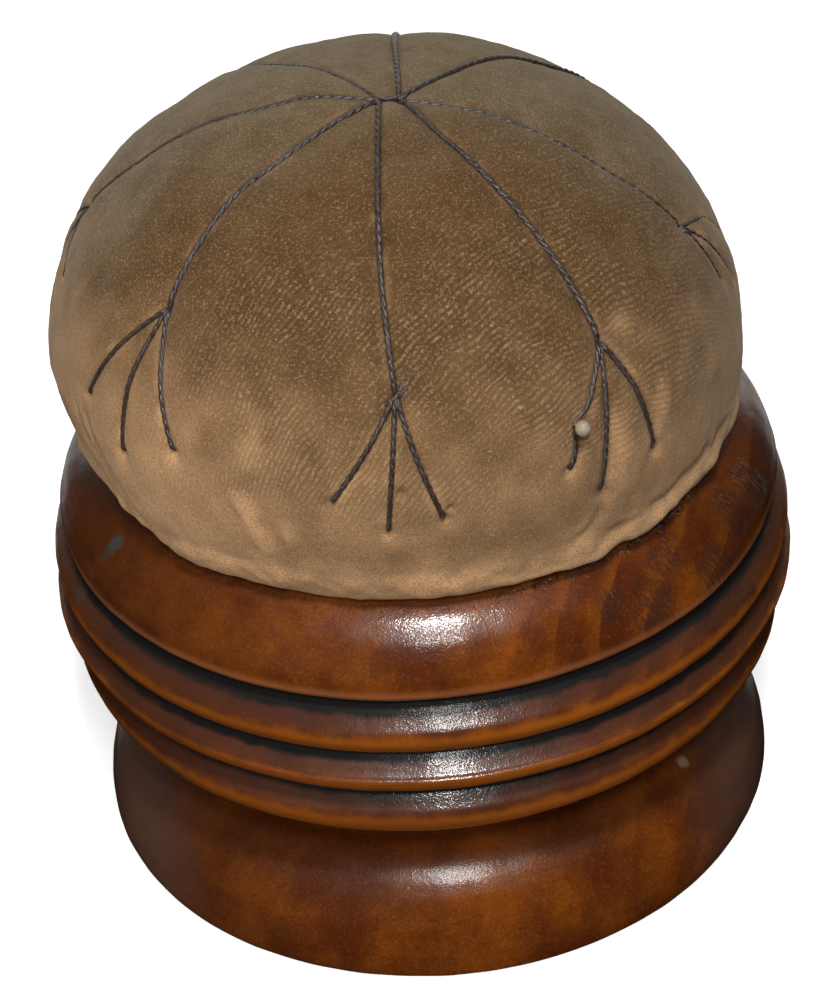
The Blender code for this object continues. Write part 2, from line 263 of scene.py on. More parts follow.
# ---- Marks in the velvet ----
PIN_PRICKS = ((-90.6, 62.0, 0.32), (-83.0, 59.8, 0.25))  # azimuth, height above the table, radius

PALE_FUZZ = ((-46.5, 71.5), 0.9)  # a pale tuft: its place and radius
LOW_DIPS = ((-71.0, 12.0, 0.34), (-112.0, 13.0, 0.24))  # less painted light low down: azimuth, half width, share

# Ridges and creases: (azimuth, height) places passed, rise (below 0 for a crease), width, painted light
# (below 0 painted shade).
CREASES = (
    (((-117.5, 61.5), (-115.5, 58.0), (-112.5, 53.5)), 0.35, 0.8, 0.9),
    (((-110.0, 58.5), (-108.5, 55.0)), 0.25, 0.6, 0.6),
    (((-113.5, 70.0), (-115.0, 66.0), (-116.5, 63.5)), 0.2, 0.9, 0.5),
    (
        ((-12.0, 52.0), (-21.0, 50.6), (-34.0, 50.2), (-47.0, 49.8), (-64.0, 49.2), (-80.0, 49.4)),
        0.6,
        0.6,
        1.0,
    ),
    (((-10.0, 54.6), (-22.0, 52.6), (-36.0, 52.0), (-50.0, 51.5), (-62.0, 51.0)), -0.8, 0.5, -0.45),
    (((-56.0, 57.0), (-60.0, 53.5), (-66.0, 50.5)), -0.3, 0.5, 0.25),
    (((-58.0, 57.5), (-62.5, 53.0)), 0.2, 0.6, 0.5),
    (((-42.0, 66.0), (-44.5, 62.0), (-46.5, 58.0)), 0.2, 1.0, 0.6),
    (((-53.0, 64.5), (-53.5, 59.5), (-54.0, 55.5)), 0.2, 0.9, 0.7),
    (((-153.5, 63.0), (-149.0, 55.0), (-145.0, 49.0)), -0.35, 0.45, -0.3),
    (((-156.5, 62.0), (-152.0, 55.0), (-149.5, 50.5)), -0.25, 0.4, -0.2),
    (((-146.5, 55.0), (-140.0, 51.0), (-133.0, 49.0)), -0.2, 0.5, -0.2),
    (((-136.0, 52.0), (-134.0, 49.3)), -0.5, 0.4, -0.4),
    (((10.0, 56.0), (24.0, 53.0), (38.0, 52.0)), -0.4, 0.6, -0.2),
    (((64.0, 60.0), (68.0, 55.0), (70.0, 51.0)), -0.35, 0.7, 0.0),
    (((104.0, 57.0), (101.0, 53.0), (100.0, 50.0)), -0.35, 0.6, 0.0),
    (((150.0, 56.0), (156.0, 52.5), (163.0, 51.0)), -0.35, 0.7, 0.0),
)

# ---- Lint ----
HAIR_RADIUS = 0.02
ASLANT = (0.31, 0.17, 0.93)  # a direction that no fibre follows
LINT_RADIUS = 32.5  # of the ring on the cup where it gathers
DARK_LINT = ((0.022, 0.015, 0.012), (0.085, 0.060, 0.045))
PALE_LINT = ((0.13, 0.095, 0.07), (0.30, 0.24, 0.18))
# Along the velvet's lower edge: name, first and last azimuth, number of fibres, colours.
LINT = (
    ("lint_right_dark", (-78.0, -28.0), 520, DARK_LINT),
    ("lint_right_pale", (-76.0, -34.0), 130, PALE_LINT),
    ("lint_left", (-172.0, -78.0), 420, DARK_LINT),
)
LINT_LIFT = 0.06  # above the wood
LINT_LENGTH = 0.5
FORK_FUZZ = ((-88.8, 71.2), (-88.4, 73.0))  # from and to, as (azimuth, height) places on the velvet
FORK_HAIRS = 40
FORK_HAIR_LENGTH = 0.7
FORK_SCATTER = 0.13

# ---- Studio ----
FLOOR_REACH = 4.0  # metres each way
FLOOR_GLOW = 0.55
WORLD_LIGHT = 0.14
LIGHT_AIM = 50.0
# Name, azimuth, elevation, distance, size, power in watts, colour, and the rays that a light goes without.
LIGHTS = (
    ("key", -85.0, 60.0, 620.0, 80.0, 2.3, (1.0, 0.99, 0.98)),
    ("low_key", -86.0, 44.0, 620.0, 60.0, 1.2, (1.0, 0.99, 0.98)),
    ("fill", -120.0, 20.0, 700.0, 500.0, 2.2, (1.0, 0.97, 0.94), "glossy"),
    ("behind", 90.0, 6.0, 900.0, 1500.0, 5.5, (1.0, 0.97, 0.95), "diffuse"),
    ("back_fill", 80.0, 10.0, 900.0, 600.0, 2.4, (1.0, 0.98, 0.95), "glossy"),
)


# ---- Numbers and curves ----
def noise(points, wavelength, seed, waves=32):
    """Smooth noise of about -1 to 1 at each point: a sum of plane waves in seeded directions."""
    random = np.random.default_rng(seed)
    directions = unit(random.normal(size=(waves, 3)))
    rates = math.tau / (wavelength * random.uniform(0.65, 1.5, waves))
    phases = random.uniform(0.0, math.tau, waves)
    total = np.zeros(len(points))
    for direction, rate, phase in zip(directions, rates, phases):
        total += np.sin(points @ direction * rate + phase)
    return total / math.sqrt(waves)


def layered(points, layers):
    """A sum of noises, each given as (height, wavelength, seed)."""
    return sum(height * noise(points, wavelength, seed) for height, wavelength, seed in layers)


def smooth_step(low, high, values):
    """From 0 at low to 1 at high, level at both ends."""
    share = np.clip((values - low) / (high - low), 0.0, 1.0)
    return share * share * (3.0 - 2.0 * share)


def bell(distances, width):
    """From 1 at no distance down towards 0 well past the width."""
    return np.exp(-0.5 * (distances / width) ** 2)


def unit(vectors):
    """The vectors, one per row, at length 1."""
    return vectors / np.linalg.norm(vectors, axis=1)[:, None]


def bearing(azimuth, elevation):
    """Direction of length 1 at an azimuth from X and an elevation above level."""
    turn, rise = math.radians(azimuth), math.radians(elevation)
    level = math.cos(rise)
    return np.array([level * math.cos(turn), level * math.sin(turn), math.sin(rise)])


def on_circle(azimuth, radius, height):
    """A place at an azimuth and radius from the Z axis."""
    angle = math.radians(azimuth)
    return np.array([radius * math.cos(angle), radius * math.sin(angle), height])


def search_tree(points):
    """A tree that finds the nearest of the points; it counts them from 0."""
    tree = kdtree.KDTree(len(points))
    for number, point in enumerate(points):
        tree.insert(point, number)
    tree.balance()
    return tree


def nearest_distance(points, samples):
    """Distance from each point to the closest of the samples, and which sample it is."""
    tree = search_tree(samples)
    found = [tree.find(point)[1:] for point in points]
    numbers = np.array([number for number, _ in found])
    return np.array([distance for _, distance in found]), numbers


def arc(centre, radii, start, end, steps, power=2.0):
    """Points along an elliptical arc; a power below 2 flattens it towards a straight line."""
    points = []
    for step in range(steps + 1):
        angle = math.radians(start + (end - start) * step / steps)
        across = math.copysign(abs(math.cos(angle)) ** (2 / power), math.cos(angle))
        up = math.copysign(abs(math.sin(angle)) ** (2 / power), math.sin(angle))
        points.append((centre[0] + radii[0] * across, centre[1] + radii[1] * up))
    return points


def lengths_along(points):
    """Length of the line from its first point to each point."""
    points = np.asarray(points, float)
    steps = np.linalg.norm(np.diff(points, axis=0), axis=1)
    return np.concatenate([[0.0], np.cumsum(steps)])


def resampled(points, count):
    """The same line with count steps of equal length."""
    points = np.asarray(points, float)
    along = lengths_along(points)
    wanted = np.linspace(0.0, along[-1], count + 1)
    return np.stack([np.interp(wanted, along, column) for column in points.T], axis=1)


def smooth_line(points, step):
    """A Catmull-Rom curve through the points, with equal steps of about the given length."""
    points = [np.asarray(point, float) for point in points]
    padded = [2 * points[0] - points[1], *points, 2 * points[-1] - points[-2]]
    dense = []
    for before, start, end, after in zip(padded, padded[1:], padded[2:], padded[3:]):
        for share in np.linspace(0.0, 1.0, 24, endpoint=False):
            bend = (2 * before - 5 * start + 4 * end - after) * share**2
            twist = (3 * start - before - 3 * end + after) * share**3
            dense.append(0.5 * (2 * start + (end - before) * share + bend + twist))
    dense.append(points[-1])
    total = lengths_along(dense)[-1]
    return resampled(dense, max(4, round(total / step)))


# ---- Meshes ----
def make_piece(name, verts, faces, body, replaced=()):
    """A smooth mesh piece from points in millimetres, riding on a body."""
    mesh = bpy.data.meshes.new(name)
    mesh.from_pydata(np.asarray(verts) * MM, [], faces)
    mesh.shade_smooth()
    piece = bpy.data.objects.new(name, mesh)
    bpy.context.scene.collection.objects.link(piece)
    if body:
        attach(piece, body)
    if replaced:
        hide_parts(*replaced)
    return piece


def points_of(mesh):
    """The mesh's points in millimetres."""
    flat = np.zeros(len(mesh.vertices) * 3)
    mesh.vertices.foreach_get("co", flat)
    return flat.reshape(-1, 3) / MM


def paint(piece, name, values):
    """A number on each point of the piece, which its material can read."""
    layer = piece.data.attributes.new(name, "FLOAT", "POINT")
    layer.data.foreach_set("value", np.asarray(values, np.float32))


def paint_vector(piece, name, values):
    """Three numbers on each point of the piece."""
    layer = piece.data.attributes.new(name, "FLOAT_VECTOR", "POINT")
    layer.data.foreach_set("vector", np.asarray(values, np.float32).ravel())


def ring(radius, height, count):
    """Evenly spaced points round the axis."""
    angles = np.arange(count) * math.tau / count
    return np.stack([radius * np.cos(angles), radius * np.sin(angles), np.full(count, height)], axis=1)


def ring_faces(upper, lower, upper_steps, lower_steps):
    """Faces between two rings that start at the given points and hold six times their steps.

    Zero steps is a single point. The rings run anticlockwise, and upper comes first down the outside.
    """
    faces = []
    upper_count = max(6 * upper_steps, 1)
    lower_count = max(6 * lower_steps, 1)
    if upper_steps == lower_steps:
        for place in range(upper_count):
            beside = (place + 1) % upper_count
            faces.append((upper + place, lower + place, lower + beside, upper + beside))
        return faces
    if lower_steps == 0:
        for place in range(upper_count):
            faces.append((upper + place, lower, upper + (place + 1) % upper_count))
        return faces
    for sector in range(6):
        for place in range(lower_steps):
            above = upper + (sector * upper_steps + place) % upper_count
            below = lower + sector * lower_steps + place
            below_next = lower + (sector * lower_steps + place + 1) % lower_count
            faces.append((above, below, below_next))
            if place < upper_steps:
                above_next = upper + (sector * upper_steps + place + 1) % upper_count
                faces.append((above, below_next, above_next))
    return faces


def ring_mesh(outline, dome_rings):
    """Points and faces of a turned form whose dome has evenly spaced points.

    The first dome_rings steps of the outline leave the axis; a last point on the axis closes the form.
    """
    verts = []
    faces = []
    previous = None
    for number, (radius, height) in enumerate(outline):
        steps = min(number, dome_rings)
        if number == len(outline) - 1 and radius < ON_AXIS:
            steps = 0
        count = max(6 * steps, 1)
        start = len(verts)
        verts.extend(ring(radius, height, count))
        if previous is not None:
            faces += ring_faces(previous[0], start, previous[1], steps)
        previous = (start, steps)
    return np.array(verts), faces


def turned_mesh(outline, sides):
    """Points and faces of a turned form; points on the axis are single."""
    verts = []
    faces = []
    previous = None
    for radius, height in outline:
        start = len(verts)
        if radius < ON_AXIS:
            verts.append((0.0, 0.0, height))
        else:
            verts.extend(ring(radius, height, sides))
        if previous is not None:
            upper, upper_radius = previous
            for place in range(sides):
                beside = (place + 1) % sides
                if upper_radius < ON_AXIS:
                    faces.append((upper, start + place, start + beside))
                elif radius < ON_AXIS:
                    faces.append((upper + place, start, upper + beside))
                else:
                    faces.append((upper + place, start + place, start + beside, upper + beside))
        previous = (start, radius)
    return np.array(verts), faces


def tube_points(line, side, up, radii, sides):
    """A ring of points round each point of a line, in the plane of its side and up directions."""
    angles = np.arange(sides) * math.tau / sides
    across = side[:, None, :] * np.cos(angles)[:, None] + up[:, None, :] * np.sin(angles)[:, None]
    return (line[:, None, :] + across * radii[:, None, None]).reshape(-1, 3)


def tube_faces(rings, sides, first=0):
    """Faces of a tube whose rings of points start at the first one, closed at both ends."""
    faces = []
    for place in range(rings - 1):
        low = first + place * sides
        for corner in range(sides):
            beside = (corner + 1) % sides
            faces.append((low + corner, low + beside, low + sides + beside, low + sides + corner))
    last = first + (rings - 1) * sides
    faces.append(tuple(first + corner for corner in reversed(range(sides))))
    faces.append(tuple(last + corner for corner in range(sides)))
    return faces


# ---- Node materials ----
class Nodes:
    """A material and short ways to add nodes to it."""

    def __init__(self, name):
        self.material = bpy.data.materials.new(name)
        self.material.use_nodes = True
        self.tree = self.material.node_tree
        self.shader = self.tree.nodes["Principled BSDF"]

    def add(self, kind, inputs=(), **settings):
        """A new node with values or links on its inputs."""
        node = self.tree.nodes.new(kind)
        for name, value in settings.items():
            setattr(node, name, value)
        for name, value in dict(inputs).items():
            self.set(node.inputs[name], value)
        return node

    def set(self, socket, value):
        """Links a socket to another, or gives it a value."""
        if isinstance(value, bpy.types.NodeSocket):
            self.tree.links.new(value, socket)
        else:
            socket.default_value = value

    def surface(self, **values):
        """Sets the shader's sockets; an underscore in a name stands for a space."""
        for name, value in values.items():
            self.set(self.shader.inputs[name.replace("_", " ")], value)

    def place(self):
        """Object coordinates in millimetres."""
        coordinates = self.add("ShaderNodeTexCoord").outputs["Object"]
        scaled = self.add("ShaderNodeVectorMath", {0: coordinates, 1: (1 / MM,) * 3}, operation="MULTIPLY")
        return scaled.outputs["Vector"]

    def painted(self, name, output="Fac"):
        """Reads what paint or paint_vector wrote."""
        return self.add("ShaderNodeAttribute", attribute_name=name).outputs[output]

    def stretched(self, vector, rotation=(0.0, 0.0, 0.0), scale=(1.0, 1.0, 1.0)):
        """The vector turned by degrees and scaled."""
        angles = tuple(math.radians(angle) for angle in rotation)
        mapping = self.add("ShaderNodeMapping", {"Vector": vector, "Rotation": angles, "Scale": scale})
        return mapping.outputs["Vector"]

    def noise(self, vector, size, detail=2.0, roughness=0.5):
        """Noise from 0 to 1 with features of about the given size."""
        inputs = {"Vector": vector, "Scale": 1.0 / size, "Detail": detail, "Roughness": roughness}
        return self.add("ShaderNodeTexNoise", inputs).outputs["Fac"]

    def maths(self, operation, first, second=0.0):
        """One operation on two numbers."""
        return self.add("ShaderNodeMath", {0: first, 1: second}, operation=operation).outputs[0]

    def times(self, first, *others):
        """The product of all the values."""
        for other in others:
            first = self.maths("MULTIPLY", first, other)
        return first

    def ragged(self, vector, size, depth):
        """Noise from -depth / 2 to depth / 2 that frays an edge."""
        return self.times(self.maths("SUBTRACT", self.noise(vector, size, detail=4.0), 0.5), depth)

    def distance(self, vector, centre):
        """Distance from a fixed place."""
        node = self.add("ShaderNodeVectorMath", {0: vector, 1: centre}, operation="DISTANCE")
        return node.outputs["Value"]

    def span(self, value, low, high, new_low=0.0, new_high=1.0):
        """Smoothly turns low to high into new_low to new_high."""
        inputs = {"Value": value, "From Min": low, "From Max": high, "To Min": new_low, "To Max": new_high}
        node = self.add("ShaderNodeMapRange", inputs, interpolation_type="SMOOTHSTEP")
        return node.outputs["Result"]

    def mix(self, share, first, second):
        """The first colour turning into the second as the share grows."""
        node = self.add("ShaderNodeMix", data_type="RGBA")
        self.set(node.inputs["Factor"], share)
        sockets = [socket for socket in node.inputs if socket.type == "RGBA"]
        for socket, colour in zip(sockets, (first, second)):
            self.set(socket, colour if isinstance(colour, bpy.types.NodeSocket) else (*colour, 1.0))
        return [socket for socket in node.outputs if socket.type == "RGBA"][0]

    def bump(self, height, distance, below=None):
        """Bump from a height of 0 to 1 that stands the given distance, on top of the bump below."""
        inputs = {"Height": height, "Distance": distance * MM, "Strength": 1.0}
        if below is not None:
            inputs["Normal"] = below
        return self.add("ShaderNodeBump", inputs).outputs["Normal"]


# ---- Where things lie on the velvet ----
def on_velvet(directions, lift=0.0):
    """Points above the plain velvet in directions from the cushion's middle."""
    directions = np.atleast_2d(directions)
    axes = np.full(directions.shape, CUSHION_RADIUS)
    axes[:, 2] = np.where(directions[:, 2] >= 0.0, DOME_RISE, SIDE_DROP)
    surface = directions / np.linalg.norm(directions / axes, axis=1)[:, None]
    return MIDDLE + surface + unit(surface / axes**2) * np.reshape(lift, (-1, 1))


def place_direction(azimuth, height):
    """Direction from the cushion's middle to an azimuth and height on the velvet."""
    rise = height - CUSHION_MIDDLE
    reach = DOME_RISE if rise >= 0.0 else SIDE_DROP
    return on_circle(azimuth, CUSHION_RADIUS * math.sqrt(1.0 - (rise / reach) ** 2), rise)


def radius_direction(azimuth, radius):
    """Direction from the cushion's middle to a place on the dome at a radius."""
    return on_circle(azimuth, radius, DOME_RISE * math.sqrt(1.0 - (radius / CUSHION_RADIUS) ** 2))


def velvet_line(places, step):
    """Directions along a line through (azimuth, height) places on the velvet."""
    return smooth_line([place_direction(*place) for place in places], step)


def hole_direction(name):
    """Direction from the cushion's middle to a needle hole on the crown."""
    x, y = HOLES[name]
    return np.array([x - CUSHION_LEAN, y, DOME_RISE])


def ray_line(name, step):
    """Directions along a ray, from its hole to its fork."""
    hole, passed, fork, _ = RAYS[name]
    points = [hole_direction(hole)]
    points += [radius_direction(azimuth, radius) for azimuth, radius in passed]
    points.append(place_direction(*fork))
    return smooth_line(points, step)


def toe_line(name, number, step):
    """Directions along a toe, from its fork to its end."""
    return velvet_line([RAYS[name][2], *RAYS[name][3][number - 1]], step)


def all_lines(step):
    """Every stitch's name and its directions."""
    lines = {"tie_stitch": smooth_line([hole_direction("left"), hole_direction("right")], step)}
    for name in RAYS:
        lines[f"ray_{name}"] = ray_line(name, step)
        for number in (1, 2, 3):
            lines[f"toe_{name}_{number}"] = toe_line(name, number, step)
    return lines


# ---- Shape of the velvet ----
def cushion_outline(fine):
    """Outer side of the velvet from the top of the dome down to its tuck in the socket."""
    side_angle = math.asin((CUSHION_MIDDLE - TURN_HEIGHT) / SIDE_DROP)
    side_radius = CUSHION_RADIUS * math.cos(side_angle)
    side = (CUSHION_RADIUS, SIDE_DROP)
    points = arc((0.0, CUSHION_MIDDLE), side, 0, -math.degrees(side_angle), fine)
    points += arc((side_radius - TURN_IN[0], TURN_HEIGHT), TURN_IN, 0, -TURN_ANGLE, fine)[1:]
    return points + [(SOCKET_RADIUS + out, RIM_HEIGHT + rise) for out, rise in TUCK]


def under_outline(steps):
    """The velvet's underside in the socket, in to the gathered hole."""
    tuck_radius = SOCKET_RADIUS - GAP
    bottom = SOCKET_FLOOR + GAP
    corner = (tuck_radius - TUCK_CORNER, bottom + TUCK_CORNER)
    points = arc(corner, (TUCK_CORNER, TUCK_CORNER), 0, -90, steps)
    return [(tuck_radius, RIM_HEIGHT + TUCK[-1][1]), *points, (HEM_HOLE, bottom)]


def dome_outline(inset=0.0):
    """The plain dome from its top down to the cushion's widest ring."""
    radii = (CUSHION_RADIUS - inset, DOME_RISE - inset)
    return arc((0.0, CUSHION_MIDDLE), radii, 90, 0, DOME_STEPS)


def leaned(points):
    """The points shifted along X by the cushion's lean at their height."""
    share = (points[:, 2] - LEAN_START) / (CUSHION_MIDDLE - LEAN_START)
    moved = points.copy()
    moved[:, 0] += CUSHION_LEAN * np.clip(share, 0.0, 1.0)
    return moved


def outer_normals(points):
    """Outward directions of the plain velvet, for points on or near it."""
    from_middle = points - MIDDLE
    rise = np.where(from_middle[:, 2] >= 0.0, DOME_RISE, SIDE_DROP)
    axes = np.stack([np.full(len(points), CUSHION_RADIUS)] * 2 + [rise], axis=1)
    normals = unit(from_middle / axes**2)
    normals[:, 2] -= 0.8 * smooth_step(EDGE_HEIGHT + 1.0, EDGE_HEIGHT - EDGE_DEPTH, points[:, 2])
    return unit(normals)


def dot(points, place, radius):
    """1 at an (azimuth, height) place on the velvet, fading to 0 past the radius."""
    return bell(np.linalg.norm(points - on_velvet(place_direction(*place)), axis=1), radius)


def crease_relief(points, step=0.5):
    """Height of the ridges and creases at each point, and their painted light and shade: paler on ridges,
    darker in creases.
    """
    height = np.zeros(len(points))
    pale = np.zeros(len(points))
    for places, rise, width, light_and_shade in CREASES:
        line = on_velvet(velvet_line(places, step))
        near = np.linalg.norm(points - line.mean(axis=0), axis=1) < np.ptp(line, axis=0).max() + 4 * width
        chosen = points[near]
        distance, number = nearest_distance(chosen, line)
        along = number / (len(line) - 1)
        taper = np.sin(np.clip(along, 0.0, 1.0) * math.pi) ** 0.6
        wander = 1.0 + 0.35 * noise(chosen, 3.0, 61)
        shape = bell(distance, width * np.clip(wander, 0.5, 1.6)) * taper
        height[near] += rise * shape
        pale[near] += light_and_shade * shape
    return height, pale


def cloth_run(start, faces, held):
    """Where the points end up after a short cloth simulation under pressure, with the held ones fixed."""
    piece = make_piece("cushion_simulation", start * PUFF_SCALE, faces, None)
    group = piece.vertex_groups.new(name="held")
    group.add([int(number) for number in np.nonzero(held)[0]], 1.0, "REPLACE")
    cloth = piece.modifiers.new("cloth", "CLOTH")
    for name, value in PUFF_CLOTH.items():
        setattr(cloth.settings, name, value)
    cloth.settings.vertex_group_mass = group.name
    cloth.settings.effector_weights.gravity = 0.0
    cloth.collision_settings.use_collision = False
    scene = bpy.context.scene
    for frame_number in range(1, PUFF_FRAMES + 1):
        scene.frame_set(frame_number)
    shaped = piece.evaluated_get(bpy.context.evaluated_depsgraph_get()).to_mesh()
    moved = points_of(shaped) / PUFF_SCALE
    scene.frame_set(1)
    bpy.data.objects.remove(piece)
    return moved


def puffed(lines):
    """A coarse copy of the velvet that the filling has pressed out between its stitches.

    Returns the coarse points and how far each moved outwards.
    """
    outline = list(resampled(dome_outline(), COARSE_RINGS))
    edge = resampled(cushion_outline(12), 12)[1:]
    under = resampled(under_outline(4), 8)[1:]
    outline += [*edge, *under, (0.0, SOCKET_FLOOR + GAP)]
    verts, faces = ring_mesh(outline, COARSE_RINGS)
    start = leaned(verts)
    normals = outer_normals(start)
    stitched, _ = nearest_distance(start, np.vstack([on_velvet(line) for line in lines.values()]))
    held = (stitched < HELD_WIDTH) | (start[:, 2] < EDGE_HEIGHT - 0.5)
    start = start - normals * PUFF_INSET
    moved = cloth_run(start, faces, held)
    outwards = np.einsum("ij,ij->i", moved - start, normals)
    return start, np.clip(outwards, -0.6, 1.4)


def spread(points, coarse, values, neighbours=8, reach=1.6):
    """Values of the coarse points carried smoothly to the fine points."""
    tree = search_tree(coarse)
    result = np.zeros(len(points))
    for number, point in enumerate(points):
        found = tree.find_n(point, neighbours)
        weights = [math.exp(-0.5 * (distance / reach) ** 2) for _, _, distance in found]
        total = sum(weight * values[index] for weight, (_, index, _) in zip(weights, found))
        result[number] = total / max(sum(weights), 1e-9)
    return result


class Cushion:
    """How the velvet's surface departs from its plain outline."""

    def __init__(self):
        self.lines = all_lines(0.3)
        self.coarse, self.bulge = puffed(self.lines)
        self.threads = np.vstack([on_velvet(line) for line in self.lines.values()])
        ends = [line[0] for line in self.lines.values()] + [line[-1] for line in self.lines.values()]
        self.ends = on_velvet(np.array(ends))

    def broad(self, points):
        """Slow changes of height: the puffed filling and its lumps."""
        above = smooth_step(EDGE_HEIGHT - 3.0, EDGE_HEIGHT + 3.0, points[:, 2])
        flat = FLAT_RIGHT * smooth_step(8.0, 26.0, points[:, 0]) * smooth_step(72.0, 80.0, points[:, 2])
        puff = spread(points, self.coarse, self.bulge)
        return (puff - SETTLED + layered(points, LUMPS) - flat) * above

    def relief(self, points):
        """The whole height at each point."""
        to_thread, _ = nearest_distance(points, self.threads)
        to_end, _ = nearest_distance(points, self.ends)
        creases, _ = crease_relief(points)
        height = self.broad(points) + creases
        for depth, width in THREAD_FURROWS:
            height -= depth * bell(to_thread, width)
        height -= END_PIT[0] * bell(to_end, END_PIT[1])
        height += layered(points, PUCKERS) * smooth_step(EDGE_HEIGHT + 4.0, EDGE_HEIGHT, points[:, 2])
        visible = smooth_step(RIM_HEIGHT - 0.5, EDGE_HEIGHT - 1.0, points[:, 2])
        height += visible * layered(points, NAP)
        for azimuth, level, radius in PIN_PRICKS:
            height -= PRICK_DEPTH * dot(points, (azimuth, level), radius)
        return height


def cloth_place(points):
    """Where each point lies on the velvet as a flat piece, measured from the middle of the crown."""
    from_middle = points - MIDDLE
    azimuth = np.arctan2(from_middle[:, 1], from_middle[:, 0])
    level = np.arctan2(from_middle[:, 2], np.hypot(from_middle[:, 0], from_middle[:, 1]))
    outline = np.array(dome_outline() + cushion_outline(40)[1:])
    angles = np.arctan2(outline[:, 1] - CUSHION_MIDDLE, outline[:, 0])
    along = lengths_along(outline)
    run = np.interp(-level, -angles, along)
    return np.stack([run * np.cos(azimuth), run * np.sin(azimuth), np.zeros(len(points))], axis=1)


def velvet_piece(cushion):
    """The velvet as a bag with a wall: smooth dome, puckered lower edge and a gathered hole below."""
    outline = list(resampled(dome_outline(), DOME_RINGS))
    edge = cushion_outline(40)
    edge_steps = round(lengths_along(edge)[-1] / EDGE_SPACING)
    outline += list(resampled(edge, edge_steps)[1:])
    outline += list(resampled(under_outline(4), 14)[1:])
    outer_count = len(outline)
    wall = CUSHION_RADIUS - VELVET
    inner_floor = SOCKET_FLOOR + GAP + VELVET
    tuck = SOCKET_RADIUS - GAP - VELVET
    inside = [(HEM_HOLE, inner_floor), (tuck - 2.0, inner_floor)]
    inside += [(tuck, inner_floor + 2.0), (tuck, RIM_HEIGHT)]
    inside += [(wall + across, EDGE_HEIGHT + rise) for across, rise in INNER_EDGE]
    inside += dome_outline(VELVET + 0.4)[:: -DOME_STEPS // 10]
    outline += inside
    verts, faces = ring_mesh(outline, DOME_RINGS)
    base = leaned(verts)
    outer = 1 + 3 * DOME_RINGS * (DOME_RINGS + 1) + 6 * DOME_RINGS * (outer_count - 1 - DOME_RINGS)
    height = cushion.relief(base[:outer])
    outside = smooth_step(RIM_HEIGHT - 0.4, RIM_HEIGHT + 1.2, base[:outer, 2])
    base[:outer] += outer_normals(base[:outer]) * (height * outside)[:, None]
    base[outer:] += outer_normals(base[outer:]) * cushion_inner_height(cushion, base[outer:])[:, None]
    piece = make_piece("velvet_cushion", base, faces, "stand", ["velvet_cover"])
    cut_pin_hole(piece)
    colour_velvet(piece, cushion)
    piece.data.materials.append(velvet_material())
    return piece


def cushion_inner_height(cushion, points):
    """The inner side follows the slow changes of the outer side, a little deeper."""
    above = smooth_step(RIM_HEIGHT, EDGE_HEIGHT + 2.0, points[:, 2])
    return (cushion.broad(points) - 0.3) * above


def colour_velvet(piece, cushion):
    """Paints the velvet's wear, tone and painted light on its points: paler pile low down, at the lower left,
    along the lower edge and on ridges, darker in creases, olive over the back of the dome.
    """
    points = points_of(piece.data)
    from_middle = points - MIDDLE
    azimuth = np.degrees(np.arctan2(from_middle[:, 1], from_middle[:, 0]))
    height = points[:, 2]
    to_thread, _ = nearest_distance(points, cushion.threads)
    _, pale = crease_relief(points)
    halo = bell(to_thread - 0.65, 0.22)
    halo *= np.clip(0.55 + 0.8 * noise(points, 3.4, 21), 0.0, 1.3)
    # Painted light: paler pile at the lower left, towards the bottom and along the lower edge.
    from_left = np.minimum(np.abs(azimuth + 150.0), np.abs(azimuth - 210.0))
    left_low = smooth_step(48.0, 16.0, from_left) * smooth_step(80.0, 58.0, height)
    low = smooth_step(83.0, 53.0, height)
    edge = smooth_step(55.5, 49.0, height)
    fuzz = dot(points, *PALE_FUZZ)
    under = smooth_step(61.0, 55.0, height)
    # Less painted light low down at the LOW_DIPS azimuths.
    for middle, width, share in LOW_DIPS:
        low *= 1.0 - share * under * bell(azimuth - middle, width)
    # Paler share: the painted light above and on ridges (darker in creases), pale halos by the threads, a
    # pale tuft and random tone.
    wear_and_light = 0.24 * left_low + 0.50 * low + 0.38 * edge + 0.40 * pale + 0.22 * halo + 0.35 * fuzz
    wear_and_light += layered(points, ((0.03, 9.0, 22), (0.04, 4.0, 23)))
    pricked = np.zeros(len(points))
    for angle, level, radius in PIN_PRICKS:
        pricked += dot(points, (angle, level), radius)
    paint(piece, "wear_and_light", np.clip(wear_and_light, -0.3, 1.2))
    # Olive, greyer pile over the back of the dome: painted top light.
    paint(piece, "crown", smooth_step(-17.0, 5.0, points[:, 1] + 3.0 * noise(points, 9.0, 24)))
    paint(piece, "shade", bell(to_thread, 0.45) * 0.6 + np.clip(pricked, 0.0, 1.0))
    rows = smooth_step(-0.5, 0.7, 0.6 * noise(points, 11.0, 25) + 0.4)
    rows *= smooth_step(75.0, 35.0, np.abs(azimuth + 76.0)) * smooth_step(55.0, 63.0, height)
    paint(piece, "rows", rows * smooth_step(85.0, 78.0, height))
    paint_vector(piece, "cloth", cloth_place(points))


# ---- Pin hole ----
def pin_frame():
    """A turn that carries Z onto the pin's axis, and the middle of the pin's head."""
    axis = bearing(PIN_AZIMUTH, PIN_ELEVATION)
    centre = on_velvet(place_direction(*PIN_PLACE))[0] + axis * (PIN_HEAD_RADIUS + GAP)
    return np.array(Vector(axis).to_track_quat("Z", "Y").to_matrix()), centre


def on_pin(verts):
    """Points round Z moved onto the pin's axis."""
    turn, centre = pin_frame()
    return verts @ turn.T + centre


